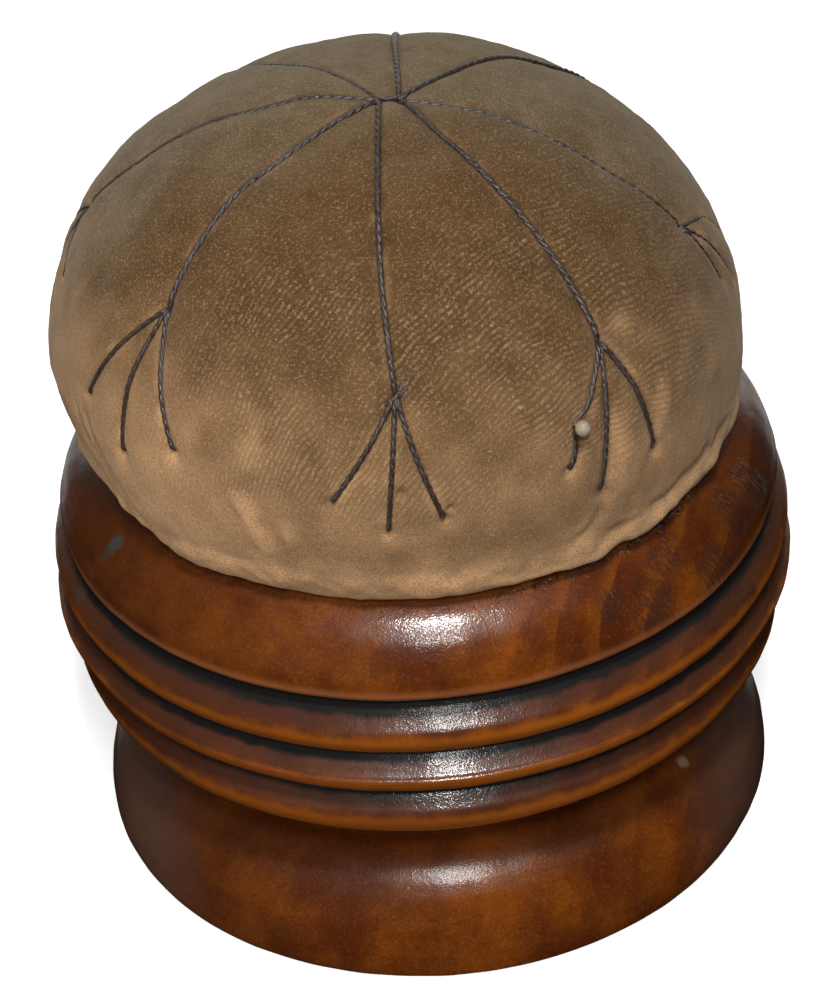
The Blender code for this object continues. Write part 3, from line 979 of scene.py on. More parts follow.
def cut_pin_hole(piece):
    """A clean hole for the pin through a soft piece."""
    radius = PIN_SHANK_RADIUS + PIN_HOLE_GAP
    depth = -PIN_HEAD_RADIUS - PIN_LENGTH - GAP
    outline = [(0.0, 0.4), (radius, 0.4), (radius, depth), (0.0, depth)]
    verts, faces = turned_mesh(outline, 12)
    cutter = make_piece("pin_hole", on_pin(verts), faces, None)
    cut = piece.modifiers.new("pin_hole", "BOOLEAN")
    cut.operation = "DIFFERENCE"
    cut.solver = "EXACT"
    cut.object = cutter
    shaped = bpy.data.meshes.new_from_object(piece.evaluated_get(bpy.context.evaluated_depsgraph_get()))
    piece.modifiers.clear()
    piece.data = shaped
    bpy.data.objects.remove(cutter)


# ---- Velvet material ----
def velvet_material():
    """Velvet: tufts in aslant rows, flecks and fibres over golden pile, with painted light: olive over the
    back of the dome, paler low down and on ridges.
    """
    nodes = Nodes("velvet_pile")
    place = nodes.place()
    # Pile rows run aslant over the front: broken lines of pale tufts with dark gaps between the rows.
    aslant = nodes.stretched(nodes.painted("cloth", "Vector"), rotation=(0.0, 0.0, -42.0))
    wobble = nodes.times(nodes.noise(aslant, 6.0, detail=2.0), 2.2)
    parts = nodes.add("ShaderNodeSeparateXYZ", {"Vector": aslant})
    across = nodes.maths("DIVIDE", nodes.maths("ADD", parts.outputs["Y"], wobble), ROW_PITCH)
    row = nodes.times(nodes.maths("FLOOR", across), 3.7)
    along = nodes.maths("DIVIDE", parts.outputs["X"], TUFT_LENGTH)
    dashes = nodes.add("ShaderNodeCombineXYZ", {"X": along, "Y": row}).outputs["Vector"]
    tufts = nodes.span(nodes.noise(dashes, 1.0, detail=2.0, roughness=0.6), 0.42, 0.66)
    tufts = nodes.times(tufts, nodes.span(nodes.noise(place, 0.30, detail=1.0), 0.36, 0.58, 0.35, 1.0))
    wave = nodes.maths("SINE", nodes.times(across, math.tau))
    rows = nodes.times(nodes.span(wave, 0.6, -0.9), tufts, nodes.painted("rows"))
    gaps = nodes.times(nodes.span(wave, 0.0, 1.0), nodes.painted("rows"))
    # Flecks: single tufts that catch the light, and the fibre between them.
    flecks = nodes.span(nodes.noise(place, 0.23, detail=2.0, roughness=0.65), 0.52, 0.68)
    fibre = nodes.noise(place, 0.17, detail=2.0, roughness=0.7)
    cloud = nodes.span(nodes.noise(place, 3.5, detail=4.0, roughness=0.65), 0.3, 0.7)
    golden = nodes.mix(cloud, (0.080, 0.040, 0.0135), (0.108, 0.058, 0.021))
    olive = nodes.mix(cloud, (0.125, 0.088, 0.046), (0.170, 0.128, 0.074))
    # Olive over the back of the dome: painted top light.
    colour = nodes.mix(nodes.painted("crown"), golden, olive)
    # Paler pile: painted light low down, at the lower left, along the lower edge and on ridges, darker in
    # creases, with pale wear spots.
    colour = nodes.mix(nodes.span(nodes.painted("wear_and_light"), 0.0, 1.0), colour, (0.60, 0.35, 0.175))
    light = nodes.maths("ADD", nodes.times(flecks, 0.32), nodes.times(rows, 0.36))
    colour = nodes.mix(nodes.maths("MINIMUM", light, 0.8), colour, (0.52, 0.36, 0.22))
    dark = nodes.times(nodes.span(fibre, 0.60, 0.36), 0.45)
    dark = nodes.maths("MAXIMUM", dark, nodes.times(gaps, 0.4))
    colour = nodes.mix(dark, colour, (0.052, 0.028, 0.011))
    colour = nodes.mix(nodes.times(nodes.painted("shade"), 0.8), colour, (0.03, 0.018, 0.009))
    pile = nodes.bump(fibre, 0.022)
    pile = nodes.bump(flecks, 0.022, below=pile)
    pile = nodes.bump(rows, 0.04, below=pile)
    nodes.surface(Base_Color=colour, Roughness=0.95, Normal=pile, Sheen_Weight=0.12, Sheen_Roughness=0.5)
    nodes.surface(Sheen_Tint=(1.0, 0.9, 0.74, 1.0), Specular_IOR_Level=0.06)
    return nodes.material


# ---- Stand ----
def softened(line, rounds=3):
    """The same line with its corners eased."""
    line = resampled(line, 48)
    for _ in range(rounds):
        line[1:-1] = (line[:-2] + 2.0 * line[1:-1] + line[2:]) / 4.0
    return [tuple(point) for point in line]


def stand_parts():
    """Stretches of the stand's outline from the socket over the rim to the underside.

    Each is (points, spacing, flank value at its start, flank value at its end). On a bead the flank
    value runs from 0 in the groove above to 1 at its lower edge; on the cup it runs up to 0 at the lip.
    """
    parts = []
    inside = [(0.0, SOCKET_FLOOR)]
    floor_corner = (SOCKET_RADIUS - SOCKET_CORNER, SOCKET_FLOOR + SOCKET_CORNER)
    inside += arc(floor_corner, (SOCKET_CORNER, SOCKET_CORNER), -90, 0, 4)
    rim_centre = (SOCKET_RADIUS + RIM_ROUND, RIM_HEIGHT - RIM_ROUND)
    rim = arc(rim_centre, (RIM_ROUND, RIM_ROUND), 180, 95, 6)
    parts.append((inside + rim[:1], 1.6, PLAIN, PLAIN))
    parts.append((rim, 0.3, PLAIN, PLAIN))
    radii = (CUP_RADIUS - RIM_RADIUS, RIM_HEIGHT - CUP_HEIGHT)
    cup = arc((RIM_RADIUS, CUP_HEIGHT), radii, 90, 0, 60, SHOULDER_POWER)
    parts.append((cup, STAND_SPACING, -10.0, -0.6))
    lip = arc((CUP_RADIUS - CUP_LIP, CUP_HEIGHT), (CUP_LIP, CUP_LIP), 0, -80, 10)
    lip.append((GROOVE_RADII[0], GROOVE_HEIGHTS[0]))
    parts.append((lip, 0.2, -0.6, 0.0))
    for number, (radius, height, root) in enumerate(zip(BEAD_RADII, BEAD_HEIGHTS, GROOVE_RADII)):
        inward, above = BEAD_SHOULDERS[number]
        bead = [(root, GROOVE_HEIGHTS[number])]
        bead += arc((radius - inward, height), (inward, above), 80, 0, 12)
        bead += arc((radius - BEAD_ROUND, height), (BEAD_ROUND, BEAD_ROUND), 0, -88, 12)[1:]
        bead = softened(bead)
        parts.append((bead, 0.22, 0.0, 1.0))
        if number + 1 < len(BEAD_RADII):
            link = [bead[-1], (GROOVE_RADII[number + 1], GROOVE_HEIGHTS[number + 1])]
            parts.append((link, 0.4, 1.0, 0.0))
    underside = BEAD_HEIGHTS[-1] - BEAD_ROUND
    upper, lower = NECK_ROUND
    neck = arc((NECK_RADIUS + upper, NECK_MIDDLE), (upper, underside - NECK_MIDDLE), 90, 180, 12)
    lower_radii = (lower, NECK_MIDDLE - FOOT_SHOULDER_HEIGHT)
    neck += arc((NECK_RADIUS + lower, NECK_MIDDLE), lower_radii, 180, 250, 8)[1:]
    parts.append(([bead[-1]] + neck, 0.5, PLAIN, PLAIN))
    foot_radii = (FOOT_RADIUS - FOOT_SHOULDER_RADIUS, FOOT_SHOULDER_HEIGHT - FOOT_EDGE)
    foot = arc((FOOT_SHOULDER_RADIUS, FOOT_EDGE), foot_radii, 80, 0, 40)
    parts.append(([neck[-1]] + foot, STAND_SPACING, PLAIN, PLAIN))
    base = arc((FOOT_RADIUS - FOOT_EDGE, FOOT_EDGE), (FOOT_EDGE, FOOT_EDGE), 0, -90, 6)
    parts.append((base, 0.2, PLAIN, PLAIN))
    parts.append(([base[-1], (0.0, 0.0)], 3.0, PLAIN, PLAIN))
    return parts


def stand_outline():
    """The stand's evenly spaced outline, with a flank value at each point."""
    points, flanks = [], []
    for line, spacing, first, last in stand_parts():
        steps = max(1, round(lengths_along(line)[-1] / spacing))
        fresh = resampled(line, steps)
        values = np.linspace(first, last, steps + 1)
        skip = 1 if points else 0
        points.extend(fresh[skip:])
        flanks.extend(values[skip:])
    return points, flanks


def worn_wood(points, flanks):
    """How far the turned surface departs from true: tool ridges, a wobble and a cut line on each bead."""
    radius = np.hypot(points[:, 0], points[:, 1])
    azimuth = np.arctan2(points[:, 1], points[:, 0])
    wobble = 0.07 * np.sin(2 * azimuth + 0.6) + 0.04 * np.sin(3 * azimuth + 2.0)
    wobble += layered(points, ((0.05, 16.0, 31), (0.022, 4.5, 32)))
    level = np.stack([np.zeros(len(points)), np.zeros(len(points)), points[:, 2]], axis=1)
    wobble += 0.02 * noise(level, 1.1, 33)
    wobble -= 0.08 * bell(flanks - 0.93, 0.02)
    outside = (radius > SOCKET_RADIUS + 0.8) & (points[:, 2] > 0.05)
    return wobble * outside


def stand_piece():
    """The turned wooden stand, from its cup down to its foot."""
    outline, flanks = stand_outline()
    verts, faces = turned_mesh(outline, STAND_SIDES)
    values = []
    for (radius, _), flank in zip(outline, flanks):
        values += [flank] * (1 if radius < ON_AXIS else STAND_SIDES)
    values = np.array(values)
    out = verts * np.array([1.0, 1.0, 0.0])
    out /= np.maximum(np.linalg.norm(out, axis=1), 1e-9)[:, None]
    verts = verts + out * worn_wood(verts, values)[:, None]
    piece = make_piece("turned_stand", verts, faces, "stand", ["wood_stand"])
    paint(piece, "flank", values)
    piece.data.materials.append(wood_material())
    return piece


def wood_material():
    """Stained wood with growth rings, blackened beads and marks, under an old lacquer dulled in bands; with
    painted light: shade on its sides, a grey sheen on the foot, reflections on lower edges and one glint.
    """
    nodes = Nodes("stained_turned_wood")
    place = nodes.place()
    parts = nodes.add("ShaderNodeSeparateXYZ", {"Vector": place})
    x, z = parts.outputs["X"], parts.outputs["Z"]
    flank = nodes.painted("flank")
    on_bead = nodes.maths("LESS_THAN", flank, 1.5)
    clouds = nodes.noise(place, 2.2, detail=4.0, roughness=0.65)
    open_grain = rough_grain(nodes, place)
    colour = stained(nodes, place, x, z, clouds)
    colour = nodes.mix(nodes.times(open_grain, 0.62), colour, (0.030, 0.015, 0.011))
    colour, black = blackened(nodes, place, x, flank, on_bead, colour)
    # Painted reflection: a grey sheen on the left and right sides of the foot.
    sides = nodes.span(nodes.maths("ABSOLUTE", x), 24.0, 33.0, 0.0, 0.55)
    colour = nodes.mix(nodes.times(sides, nodes.span(z, 15.0, 12.0)), colour, (0.105, 0.062, 0.048))
    scuffed, specks = wood_marks(nodes, place)
    colour = nodes.mix(scuffed, colour, (0.040, 0.047, 0.040))
    # Pale specks; the one on the foot is a painted highlight.
    colour = nodes.mix(specks, colour, (0.36, 0.26, 0.19))
    nodes.surface(Base_Color=colour, Roughness=nodes.span(clouds, 0.3, 0.7, 0.30, 0.38))
    lacquer(nodes, place, z, open_grain, gloss(nodes, z, flank, on_bead, black))
    return nodes.material


def stained(nodes, place, x, z, clouds):
    """Stain in clouds over the growth rings: nearly upright sheets, dark on one side, clear on the other;
    painted shade darkens the left and right sides.
    """
    slope = nodes.add("ShaderNodeVectorMath", {0: place, 1: RING_NORMAL}, operation="DOT_PRODUCT")
    warp = nodes.times(nodes.noise(place, 17.0, detail=2.0), 7.0)
    sheet = nodes.maths("ADD", nodes.maths("SUBTRACT", slope.outputs["Value"], RING_START), warp)
    growth = nodes.maths("FRACT", nodes.maths("DIVIDE", sheet, RING_PERIOD))
    dark_side = nodes.times(nodes.span(growth, 0.62, 0.10), nodes.span(growth, 0.0, 0.10))
    dark_side = nodes.times(dark_side, nodes.span(x, -10.0, 16.0, 0.06, 1.0))
    dark_side = nodes.times(dark_side, nodes.span(z, 14.0, 40.0, 0.12, 0.32))
    clear_side = nodes.times(nodes.span(growth, 0.45, 0.95), nodes.span(x, 0.0, 20.0, 0.0, 0.34))
    clear_side = nodes.times(clear_side, nodes.span(growth, 1.0, 0.95), nodes.span(z, 16.0, 38.0, 0.3, 1.0))
    broad_clouds = nodes.noise(place, 9.0, detail=4.0, roughness=0.6)
    fibres = nodes.noise(nodes.stretched(place, scale=(1.0, 1.0, 0.12)), 0.35, detail=3.0, roughness=0.65)
    mottle = nodes.noise(place, 0.30, detail=3.0, roughness=0.7)
    colour = nodes.mix(nodes.span(broad_clouds, 0.35, 0.68), (0.070, 0.014, 0.0020), (0.170, 0.042, 0.0030))
    for share, stain in (
        (clear_side, (0.290, 0.078, 0.006)),
        (nodes.span(clouds, 0.44, 0.74, 0.0, 0.5), (0.060, 0.014, 0.004)),
        (dark_side, (0.060, 0.014, 0.006)),
        (nodes.span(fibres, 0.50, 0.8, 0.0, 0.35), (0.055, 0.016, 0.007)),
        (nodes.span(mottle, 0.50, 0.36, 0.0, 0.38), (0.050, 0.014, 0.005)),
        (nodes.span(mottle, 0.54, 0.70, 0.0, 0.22), (0.330, 0.110, 0.030)),
        # Painted shade: darker towards the left and right sides.
        (nodes.span(x, -8.0, -33.0, 0.0, 0.62), (0.036, 0.012, 0.005)),
        (nodes.span(x, 24.0, 37.0, 0.0, 0.55), (0.022, 0.009, 0.004)),
    ):
        colour = nodes.mix(share, colour, stain)
    return colour


def rough_grain(nodes, place):
    """Mask of the open grain: short slanting strokes inside ragged patches."""
    ragged = nodes.ragged(place, 1.8, 4.0)
    patch = 0.0
    for azimuth, radius, height, size in OPEN_GRAIN:
        apart = nodes.distance(place, on_circle(azimuth, radius, height))
        share = nodes.span(nodes.maths("ADD", apart, ragged), size * 1.6, size * 0.9)
        patch = nodes.maths("MAXIMUM", share, patch)
    slanted = nodes.stretched(nodes.stretched(place, rotation=(0.0, 28.0, 30.0)), scale=(1.0, 1.0, 0.22))
    return nodes.times(patch, nodes.span(nodes.noise(slanted, 0.34, detail=2.0), 0.30, 0.58))


def blackened(nodes, place, x, flank, on_bead, colour):
    """Black stain in the grooves, deep brown below it and lighter lower edges, which are wear with a painted
    reflection of the floor below; returns the black mask too.
    """
    edge = nodes.maths("ADD", flank, nodes.ragged(place, 2.6, 0.16))
    deep = nodes.times(nodes.span(edge, 0.56, 0.30, 0.0, 0.72), on_bead, nodes.span(flank, -0.16, -0.04))
    black = nodes.times(nodes.span(edge, 0.27, 0.17), nodes.span(flank, -0.14, -0.03), on_bead)
    nose = nodes.times(nodes.span(edge, 0.42, 0.56), nodes.span(flank, 0.92, 0.74))
    nose = nodes.times(nose, nodes.span(x, -4.0, 14.0, 0.5, 0.8))
    # Lighter lower edges of the beads and the cup's lip: wear with a painted reflection of the pale floor
    # below.
    rubbed_and_reflecting = nodes.times(nodes.span(edge, 0.70, 0.84), on_bead)
    lip = nodes.times(nodes.span(flank, -1.3, -0.4), nodes.span(flank, 0.0, -0.2))
    rubbed_and_reflecting = nodes.maths("MAXIMUM", rubbed_and_reflecting, lip)
    for share, stain in (
        (deep, (0.050, 0.020, 0.013)),
        (nodes.times(black, 0.95), (0.011, 0.012, 0.012)),
        (nose, (0.320, 0.086, 0.008)),
        (nodes.times(rubbed_and_reflecting, 0.55), (0.36, 0.125, 0.045)),
    ):
        colour = nodes.mix(share, colour, stain)
    return colour, black


def gloss(nodes, z, flank, on_bead, black):
    """How much the wood shines: less in the black and in dulled bands of the cup, first bead and foot."""
    shine = nodes.maths("SUBTRACT", 1.0, nodes.times(black, nodes.span(z, 28.0, 32.0, 0.1, 0.7)))
    cup_band = nodes.times(nodes.span(z, 39.2, 39.8), nodes.span(z, 45.4, 44.0))
    bands = nodes.times(nodes.maths("MAXIMUM", cup_band, nodes.span(z, 10.0, 8.5)), 0.7)
    first_bead = nodes.times(on_bead, nodes.span(z, 32.3, 33.0), nodes.span(flank, -0.10, 0.02))
    for wear_and_light in (bands, nodes.times(first_bead, 0.5)):
        shine = nodes.times(shine, nodes.maths("SUBTRACT", 1.0, wear_and_light))
    return shine


def lacquer(nodes, place, z, open_grain, shine):
    """A fine glittering skin over shallow waves, sunk in the open grain."""
    skin = nodes.bump(nodes.noise(place, 1.3, detail=2.0), 0.03)
    skin = nodes.bump(nodes.noise(place, 0.42, detail=2.0), 0.014, below=skin)
    skin = nodes.bump(open_grain, 0.045, below=skin)
    glitter = nodes.bump(nodes.noise(place, 0.19, detail=1.0, roughness=0.5), 0.018, below=skin)
    nodes.surface(Normal=glitter, Specular_IOR_Level=nodes.times(shine, 0.30))
    nodes.surface(Coat_Weight=nodes.times(shine, 0.5), Coat_Roughness=nodes.span(z, 14.0, 18.0, 0.2, 0.12))
    nodes.surface(Coat_Normal=glitter)


def wood_marks(nodes, place):
    """Masks of the stand's marks: the scuff, and the pale chip with the specks, one of them a painted
    highlight.
    """
    masks = []
    for spots in (SCUFF, (CHIP, *((*speck, SPECK_SIZE, SPECK_STRENGTH) for speck in SPECKS))):
        mask = spot(nodes, place, *spots[0])
        for values in spots[1:]:
            mask = nodes.maths("MAXIMUM", mask, spot(nodes, place, *values))
        masks.append(mask)
    return masks


def spot(nodes, place, azimuth, radius, height, size, strength):
    """A round mask with a ragged edge."""
    ragged = nodes.times(nodes.noise(place, size * 0.9, detail=3.0), size)
    edge = nodes.maths("ADD", nodes.distance(place, on_circle(azimuth, radius, height)), ragged)
    return nodes.span(edge, size * 1.7, size, 0.0, strength)


# ---- Threads ----
def plied_mesh(line, radius, phase):
    """Points and faces of two plies twisted round a line, each closed at its ends."""
    tangents = unit(np.gradient(line, axis=0))
    side = unit(np.cross(tangents, line - MIDDLE))
    up = np.cross(side, tangents)
    along = lengths_along(line)
    ply = radius * PLY_SHARE
    thickness = np.full(len(line), ply)
    thickness[[0, -1]] *= 0.55
    angles = np.arange(PLY_SIDES) * math.tau / PLY_SIDES
    verts, faces, spins = [], [], []
    for strand in (0.0, math.pi):
        turn = along * math.tau / TWIST + strand + phase
        centre = line + (side * np.cos(turn)[:, None] + up * np.sin(turn)[:, None]) * (radius - ply)
        faces += tube_faces(len(line), PLY_SIDES, len(verts))
        verts.extend(tube_points(centre, side, up, thickness, PLY_SIDES))
        for length, first in zip(along, turn):
            spins += [(length, angle + first, strand) for angle in angles]
    return np.array(verts), faces, np.array(spins)


def stitch_lift(name, along, cushion, base):
    """Height of a thread's middle above the plain velvet: bedded in the pile, its ends drawn under."""
    total = along[-1]
    kind, ray = name.split("_", 1)
    if kind == "toe":
        ray = ray.rsplit("_", 1)[0]
    lift = cushion.broad(base) + THREAD_LIFT - SUNK_RAYS.get(ray, 0.0)
    reach = 0.6 if kind == "toe" else 0.9
    lift -= END_DROP[kind] * (1.0 - smooth_step(0.0, reach, total - along))
    if kind != "tie":
        lift -= START_DROP * (1.0 - smooth_step(0.0, 0.9, along))
    if kind == "toe":
        lift -= 0.12 * smooth_step(0.45, 1.0, along / total)
    return lift


def thread_piece(name, line, cushion, nodes_replaced, material, phase):
    """One stitch as a twisted thread."""
    base = on_velvet(line)
    along = lengths_along(base)
    lift = stitch_lift(name, along, cushion, base)
    path = on_velvet(line, lift)
    if name == PIN_TOE:
        path = round_pin(path)
    width = THREAD if name.startswith("ray") else TOE_THREAD
    verts, faces, spins = plied_mesh(path, width / 2, phase)
    piece = make_piece(f"thread_{name}", verts, faces, "stand", nodes_replaced)
    paint_vector(piece, "spin", spins)
    piece.data.materials.append(material)
    return piece


def round_pin(path):
    """Bends a thread round the pin's shank."""
    turn, centre = pin_frame()
    axis = turn[:, 2]
    offset = path - centre
    offset -= np.outer(offset @ axis, axis)
    distance = np.linalg.norm(offset, axis=1)
    tangent = np.gradient(path, axis=0)
    side = unit(np.cross(tangent, axis))
    lateral = np.einsum("ij,ij->i", offset, side)
    push = np.maximum(PIN_TOE_BEND - lateral, 0.0) * bell(distance, 1.1)
    return path + side * push[:, None]


def thread_material():
    """Dark cotton with faded strands and dust."""
    nodes = Nodes("dark_cotton_thread")
    place = nodes.place()
    spin = nodes.painted("spin", "Vector")
    strands = nodes.noise(nodes.stretched(spin, scale=(0.4, 1.8, 1.0)), 0.5, detail=3.0, roughness=0.7)
    dust = nodes.noise(place, 0.5, detail=2.0, roughness=0.7)
    fade = nodes.noise(place, 5.0, detail=2.0)
    colour = nodes.mix(nodes.span(strands, 0.42, 0.68), (0.014, 0.008, 0.006), (0.120, 0.085, 0.072))
    colour = nodes.mix(nodes.span(fade, 0.5, 0.75, 0.0, 0.3), colour, (0.085, 0.065, 0.060))
    colour = nodes.mix(nodes.span(dust, 0.62, 0.78, 0.0, 0.45), colour, (0.26, 0.20, 0.16))
    bump = nodes.bump(strands, 0.05)
    nodes.surface(Base_Color=colour, Roughness=0.36, Normal=bump, Specular_IOR_Level=0.85)
    return nodes.material


def embroidery(cushion):
    """Every stitch of the star as a twisted thread of its own."""
    material = thread_material()
    for number, (name, line) in enumerate(all_lines(THREAD_STEP).items()):
        replaced = [name]
        if name == PIN_TOE:
            replaced.append(f"{name}_below_pin")
        thread_piece(name, line, cushion, replaced, material, 0.9 * number)
    thread_piece("knot_front", velvet_line(KNOT, THREAD_STEP), cushion, [], material, 0.4)


# ---- Pin ----
def pin_pieces():
    """The glass head and the steel shank."""
    verts, faces = turned_mesh(arc((0.0, 0.0), (PIN_HEAD_RADIUS, PIN_HEAD_RADIUS * 0.97), 90, -90, 28), 40)
    verts *= (1.0 + 0.02 * noise(verts, 0.8, 41))[:, None]
    piece = make_piece("pin_glass_head", on_pin(verts), faces, "pin", ["pin_head"])
    piece.data.materials.append(glass_material())
    top = -PIN_HEAD_RADIUS - GAP + 0.28
    tip = -PIN_HEAD_RADIUS - PIN_LENGTH
    shank = [(0.0, top), (PIN_SHANK_RADIUS, top), (PIN_SHANK_RADIUS, tip + PIN_POINT)]
    for share in PIN_TAPER:
        shank.append((PIN_SHANK_RADIUS * (1 - share) ** 0.8, tip + PIN_POINT * (1 - share)))
    shank.append((0.0, tip))
    verts, faces = turned_mesh(shank, 20)
    piece = make_piece("pin_steel_shank", on_pin(verts), faces, "pin", ["pin_shank"])
    piece.data.materials.append(steel_material())


def glass_material():
    """Pale clouded glass."""
    nodes = Nodes("clouded_glass")
    place = nodes.place()
    cloud = nodes.noise(place, 0.7, detail=3.0)
    colour = nodes.mix(cloud, (0.24, 0.19, 0.13), (0.36, 0.31, 0.23))
    nodes.surface(Base_Color=colour, Roughness=nodes.span(cloud, 0.3, 0.7, 0.35, 0.6))
    nodes.surface(Normal=nodes.bump(cloud, 0.03))
    nodes.surface(Subsurface_Weight=0.25, Subsurface_Radius=(1.0, 0.9, 0.7), Subsurface_Scale=0.4 * MM)
    return nodes.material


def steel_material():
    """Drawn steel wire with fine scratches."""
    nodes = Nodes("pin_steel_drawn")
    place = nodes.place()
    scratches = nodes.noise(place, 0.25, detail=3.0)
    colour = nodes.mix(scratches, (0.42, 0.41, 0.39), (0.62, 0.61, 0.60))
    nodes.surface(Base_Color=colour, Metallic=1.0, Roughness=nodes.span(scratches, 0.3, 0.7, 0.18, 0.34))
    nodes.surface(Normal=nodes.bump(scratches, 0.004))
    return nodes.material


# ---- Pieces inside the cushion ----
# Node, its material's name, dark and light colours, and the size, relief and roughness of its grain.
INNER_LOOKS = (
    ("lining_bag", "calico_weave", (0.42, 0.36, 0.26), (0.66, 0.60, 0.47), 0.5, 0.05, 0.95),
    ("stuffing", "packed_sawdust", (0.30, 0.19, 0.09), (0.66, 0.50, 0.28), 0.9, 0.3, 1.0),
    ("card_disc", "grey_card", (0.33, 0.27, 0.19), (0.46, 0.39, 0.28), 0.7, 0.03, 0.9),
    ("gathering_thread", "linen_thread", (0.38, 0.32, 0.22), (0.6, 0.53, 0.4), 0.3, 0.04, 0.8),
)


def hidden_material(name, dark, light, size, height, rough):
    """Plain matt material with an even grain."""
    nodes = Nodes(name)
    place = nodes.place()
    grain = nodes.noise(place, size, detail=4.0, roughness=0.65)
    nodes.surface(Base_Color=nodes.mix(grain, dark, light), Roughness=rough, Normal=nodes.bump(grain, height))
    return nodes.material


def dress_inner_nodes():
    """Materials for the CAD pieces that stay as they are, all inside the cushion."""
    for node, *look in INNER_LOOKS:
        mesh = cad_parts[node].data
        mesh.materials.clear()
        mesh.materials.append(hidden_material(*look))


# ---- Lint ----
def hair(start, heading, length, curl, random):
    """A line of points wandering off from a start."""
    points = [np.array(start, float)]
    heading = np.array(heading, float)
    for _ in range(5):
        heading = heading + random.normal(scale=curl, size=3)
        heading /= np.linalg.norm(heading)
        points.append(points[-1] + heading * length / 5)
    return smooth_line(points, length / 14)


def tube_mesh(line, radius, sides=4):
    """Points and faces of a thin closed tube along a line."""
    tangents = np.gradient(line, axis=0)
    side = unit(np.cross(tangents, ASLANT))
    up = unit(np.cross(side, tangents))
    return tube_points(line, side, up, np.full(len(line), radius), sides), tube_faces(len(line), sides)


def lint_piece(name, starts, length, colours, random):
    """Loose fibres, one from each start."""
    verts, faces, count = [], [], 0
    for start in starts:
        heading = random.normal(size=3) + (start - MIDDLE) * 0.03
        line = hair(start, heading, length * random.uniform(0.4, 1.2), 0.35, random)
        tube, sides = tube_mesh(line, HAIR_RADIUS)
        verts.append(tube)
        faces += [tuple(corner + count for corner in face) for face in sides]
        count += len(tube)
    piece = make_piece(name, np.vstack(verts), faces, "stand", ())
    nodes = Nodes(name)
    shade = nodes.noise(nodes.place(), 1.2, detail=1.0)
    nodes.surface(Base_Color=nodes.mix(nodes.span(shade, 0.4, 0.6), *colours), Roughness=0.8)
    piece.data.materials.append(nodes.material)


def on_cup(azimuth, radius):
    """A place just above the cup's shoulder."""
    share = (radius - RIM_RADIUS) / (CUP_RADIUS - RIM_RADIUS)
    rise = (1.0 - share**SHOULDER_POWER) ** (1.0 / SHOULDER_POWER)
    return on_circle(azimuth, radius, CUP_HEIGHT + (RIM_HEIGHT - CUP_HEIGHT) * rise + LINT_LIFT)


def lint():
    """Dark and pale fluff where the velvet meets the wood, and a wisp at the front fork."""
    random = np.random.default_rng(71)
    for name, (first, last), hairs, colours in LINT:
        azimuths = random.uniform(first, last, hairs)
        radii = LINT_RADIUS + 0.3 * np.abs(random.normal(size=hairs))
        starts = [on_cup(*place) for place in zip(azimuths, radii)]
        lint_piece(name, starts, LINT_LENGTH, colours, random)
    ends = [on_velvet(place_direction(*place), 0.1)[0] for place in FORK_FUZZ]
    shares = random.uniform(size=(FORK_HAIRS, 1))
    scatter = random.normal(scale=FORK_SCATTER, size=(FORK_HAIRS, 3))
    starts = ends[0] + (ends[1] - ends[0]) * shares + scatter
    lint_piece("lint_fork", starts, FORK_HAIR_LENGTH, PALE_LINT, random)


# ---- Studio ----
def floor():
    """A plain pale floor that glows a little, as a sheet lit from below does."""
    mesh = bpy.data.meshes.new("floor")
    signs = ((-1, -1), (1, -1), (1, 1), (-1, 1))
    corners = [(x * FLOOR_REACH, y * FLOOR_REACH, 0.0) for x, y in signs]
    mesh.from_pydata(corners, [], [(0, 1, 2, 3)])
    piece = bpy.data.objects.new("floor", mesh)
    bpy.context.scene.collection.objects.link(piece)
    nodes = Nodes("pale_floor")
    grain = nodes.noise(nodes.place(), 2.0)
    nodes.surface(Base_Color=nodes.mix(grain, (0.86, 0.86, 0.86), (0.88, 0.88, 0.88)), Roughness=0.9)
    nodes.surface(Specular_IOR_Level=0.0, Emission_Color=(1.0, 1.0, 1.0, 1.0), Emission_Strength=FLOOR_GLOW)
    mesh.materials.append(nodes.material)
    piece.visible_glossy = False
    piece.visible_diffuse = False


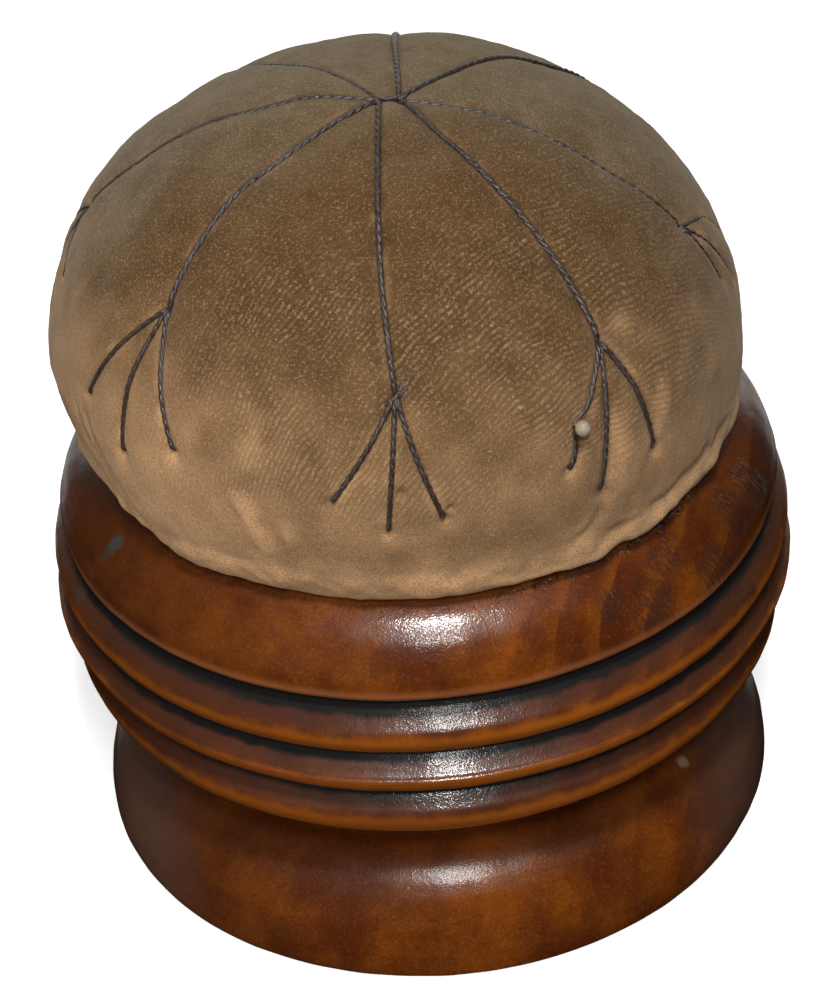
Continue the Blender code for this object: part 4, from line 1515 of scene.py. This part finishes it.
def soft_light(name, azimuth, elevation, distance, size, power, colour, without=""):
    """A square soft light aimed at the cushion; it can go without one kind of ray."""
    lamp = bpy.data.lights.new(name, "AREA")
    lamp.size = size * MM
    lamp.energy = power
    lamp.color = colour
    light = bpy.data.objects.new(name, lamp)
    out = Vector(bearing(azimuth, elevation))
    light.location = (Vector((0.0, 0.0, LIGHT_AIM)) + out * distance) * MM
    light.rotation_euler = out.to_track_quat("Z", "Y").to_euler()
    if without:
        setattr(light, f"visible_{without}", False)
    bpy.context.scene.collection.objects.link(light)


def studio():
    """A pale room with five soft lights."""
    world = bpy.data.worlds.new("studio")
    world.use_nodes = True
    background = world.node_tree.nodes["Background"]
    background.inputs["Color"].default_value = (1.0, 1.0, 1.0, 1.0)
    background.inputs["Strength"].default_value = WORLD_LIGHT
    scene = bpy.context.scene
    scene.world = world
    world.cycles_visibility.glossy = False
    scene.view_settings.view_transform = "Standard"
    scene.view_settings.look = "None"
    for light in LIGHTS:
        soft_light(*light)
    floor()


def camera():
    """A camera aimed at the middle of the cup's lip, then turned a little and rolled."""
    rise = math.radians(CAMERA_ELEVATION)
    out = Vector((0.0, -math.cos(rise), math.sin(rise)))
    forward = -out
    right = Vector((1.0, 0.0, 0.0))
    up = right.cross(forward)
    yaw, pitch, roll = (math.radians(angle) for angle in (CAMERA_YAW, CAMERA_PITCH, CAMERA_ROLL))
    level_aim = forward * math.cos(yaw) + right * math.sin(yaw)
    aim = level_aim * math.cos(pitch) + up * math.sin(pitch)
    level = aim.cross(up).normalized()
    upright = level.cross(aim)
    side = level * math.cos(roll) + upright * math.sin(roll)
    top = upright * math.cos(roll) - level * math.sin(roll)
    lens = bpy.data.cameras.new("camera")
    lens.lens = CAMERA_LENS
    lens.clip_start = 0.01
    lens.clip_end = 20.0
    piece = bpy.data.objects.new("camera", lens)
    turn = Matrix((side, top, -aim)).transposed()
    piece.matrix_world = Matrix.Translation((LIP_MIDDLE + out * CAMERA_DISTANCE) * MM) @ turn.to_4x4()
    bpy.context.scene.collection.objects.link(piece)
    bpy.context.scene.camera = piece


camera()
studio()
stand_piece()
cushion_shape = Cushion()
velvet_piece(cushion_shape)
embroidery(cushion_shape)
pin_pieces()
lint()
dress_inner_nodes()
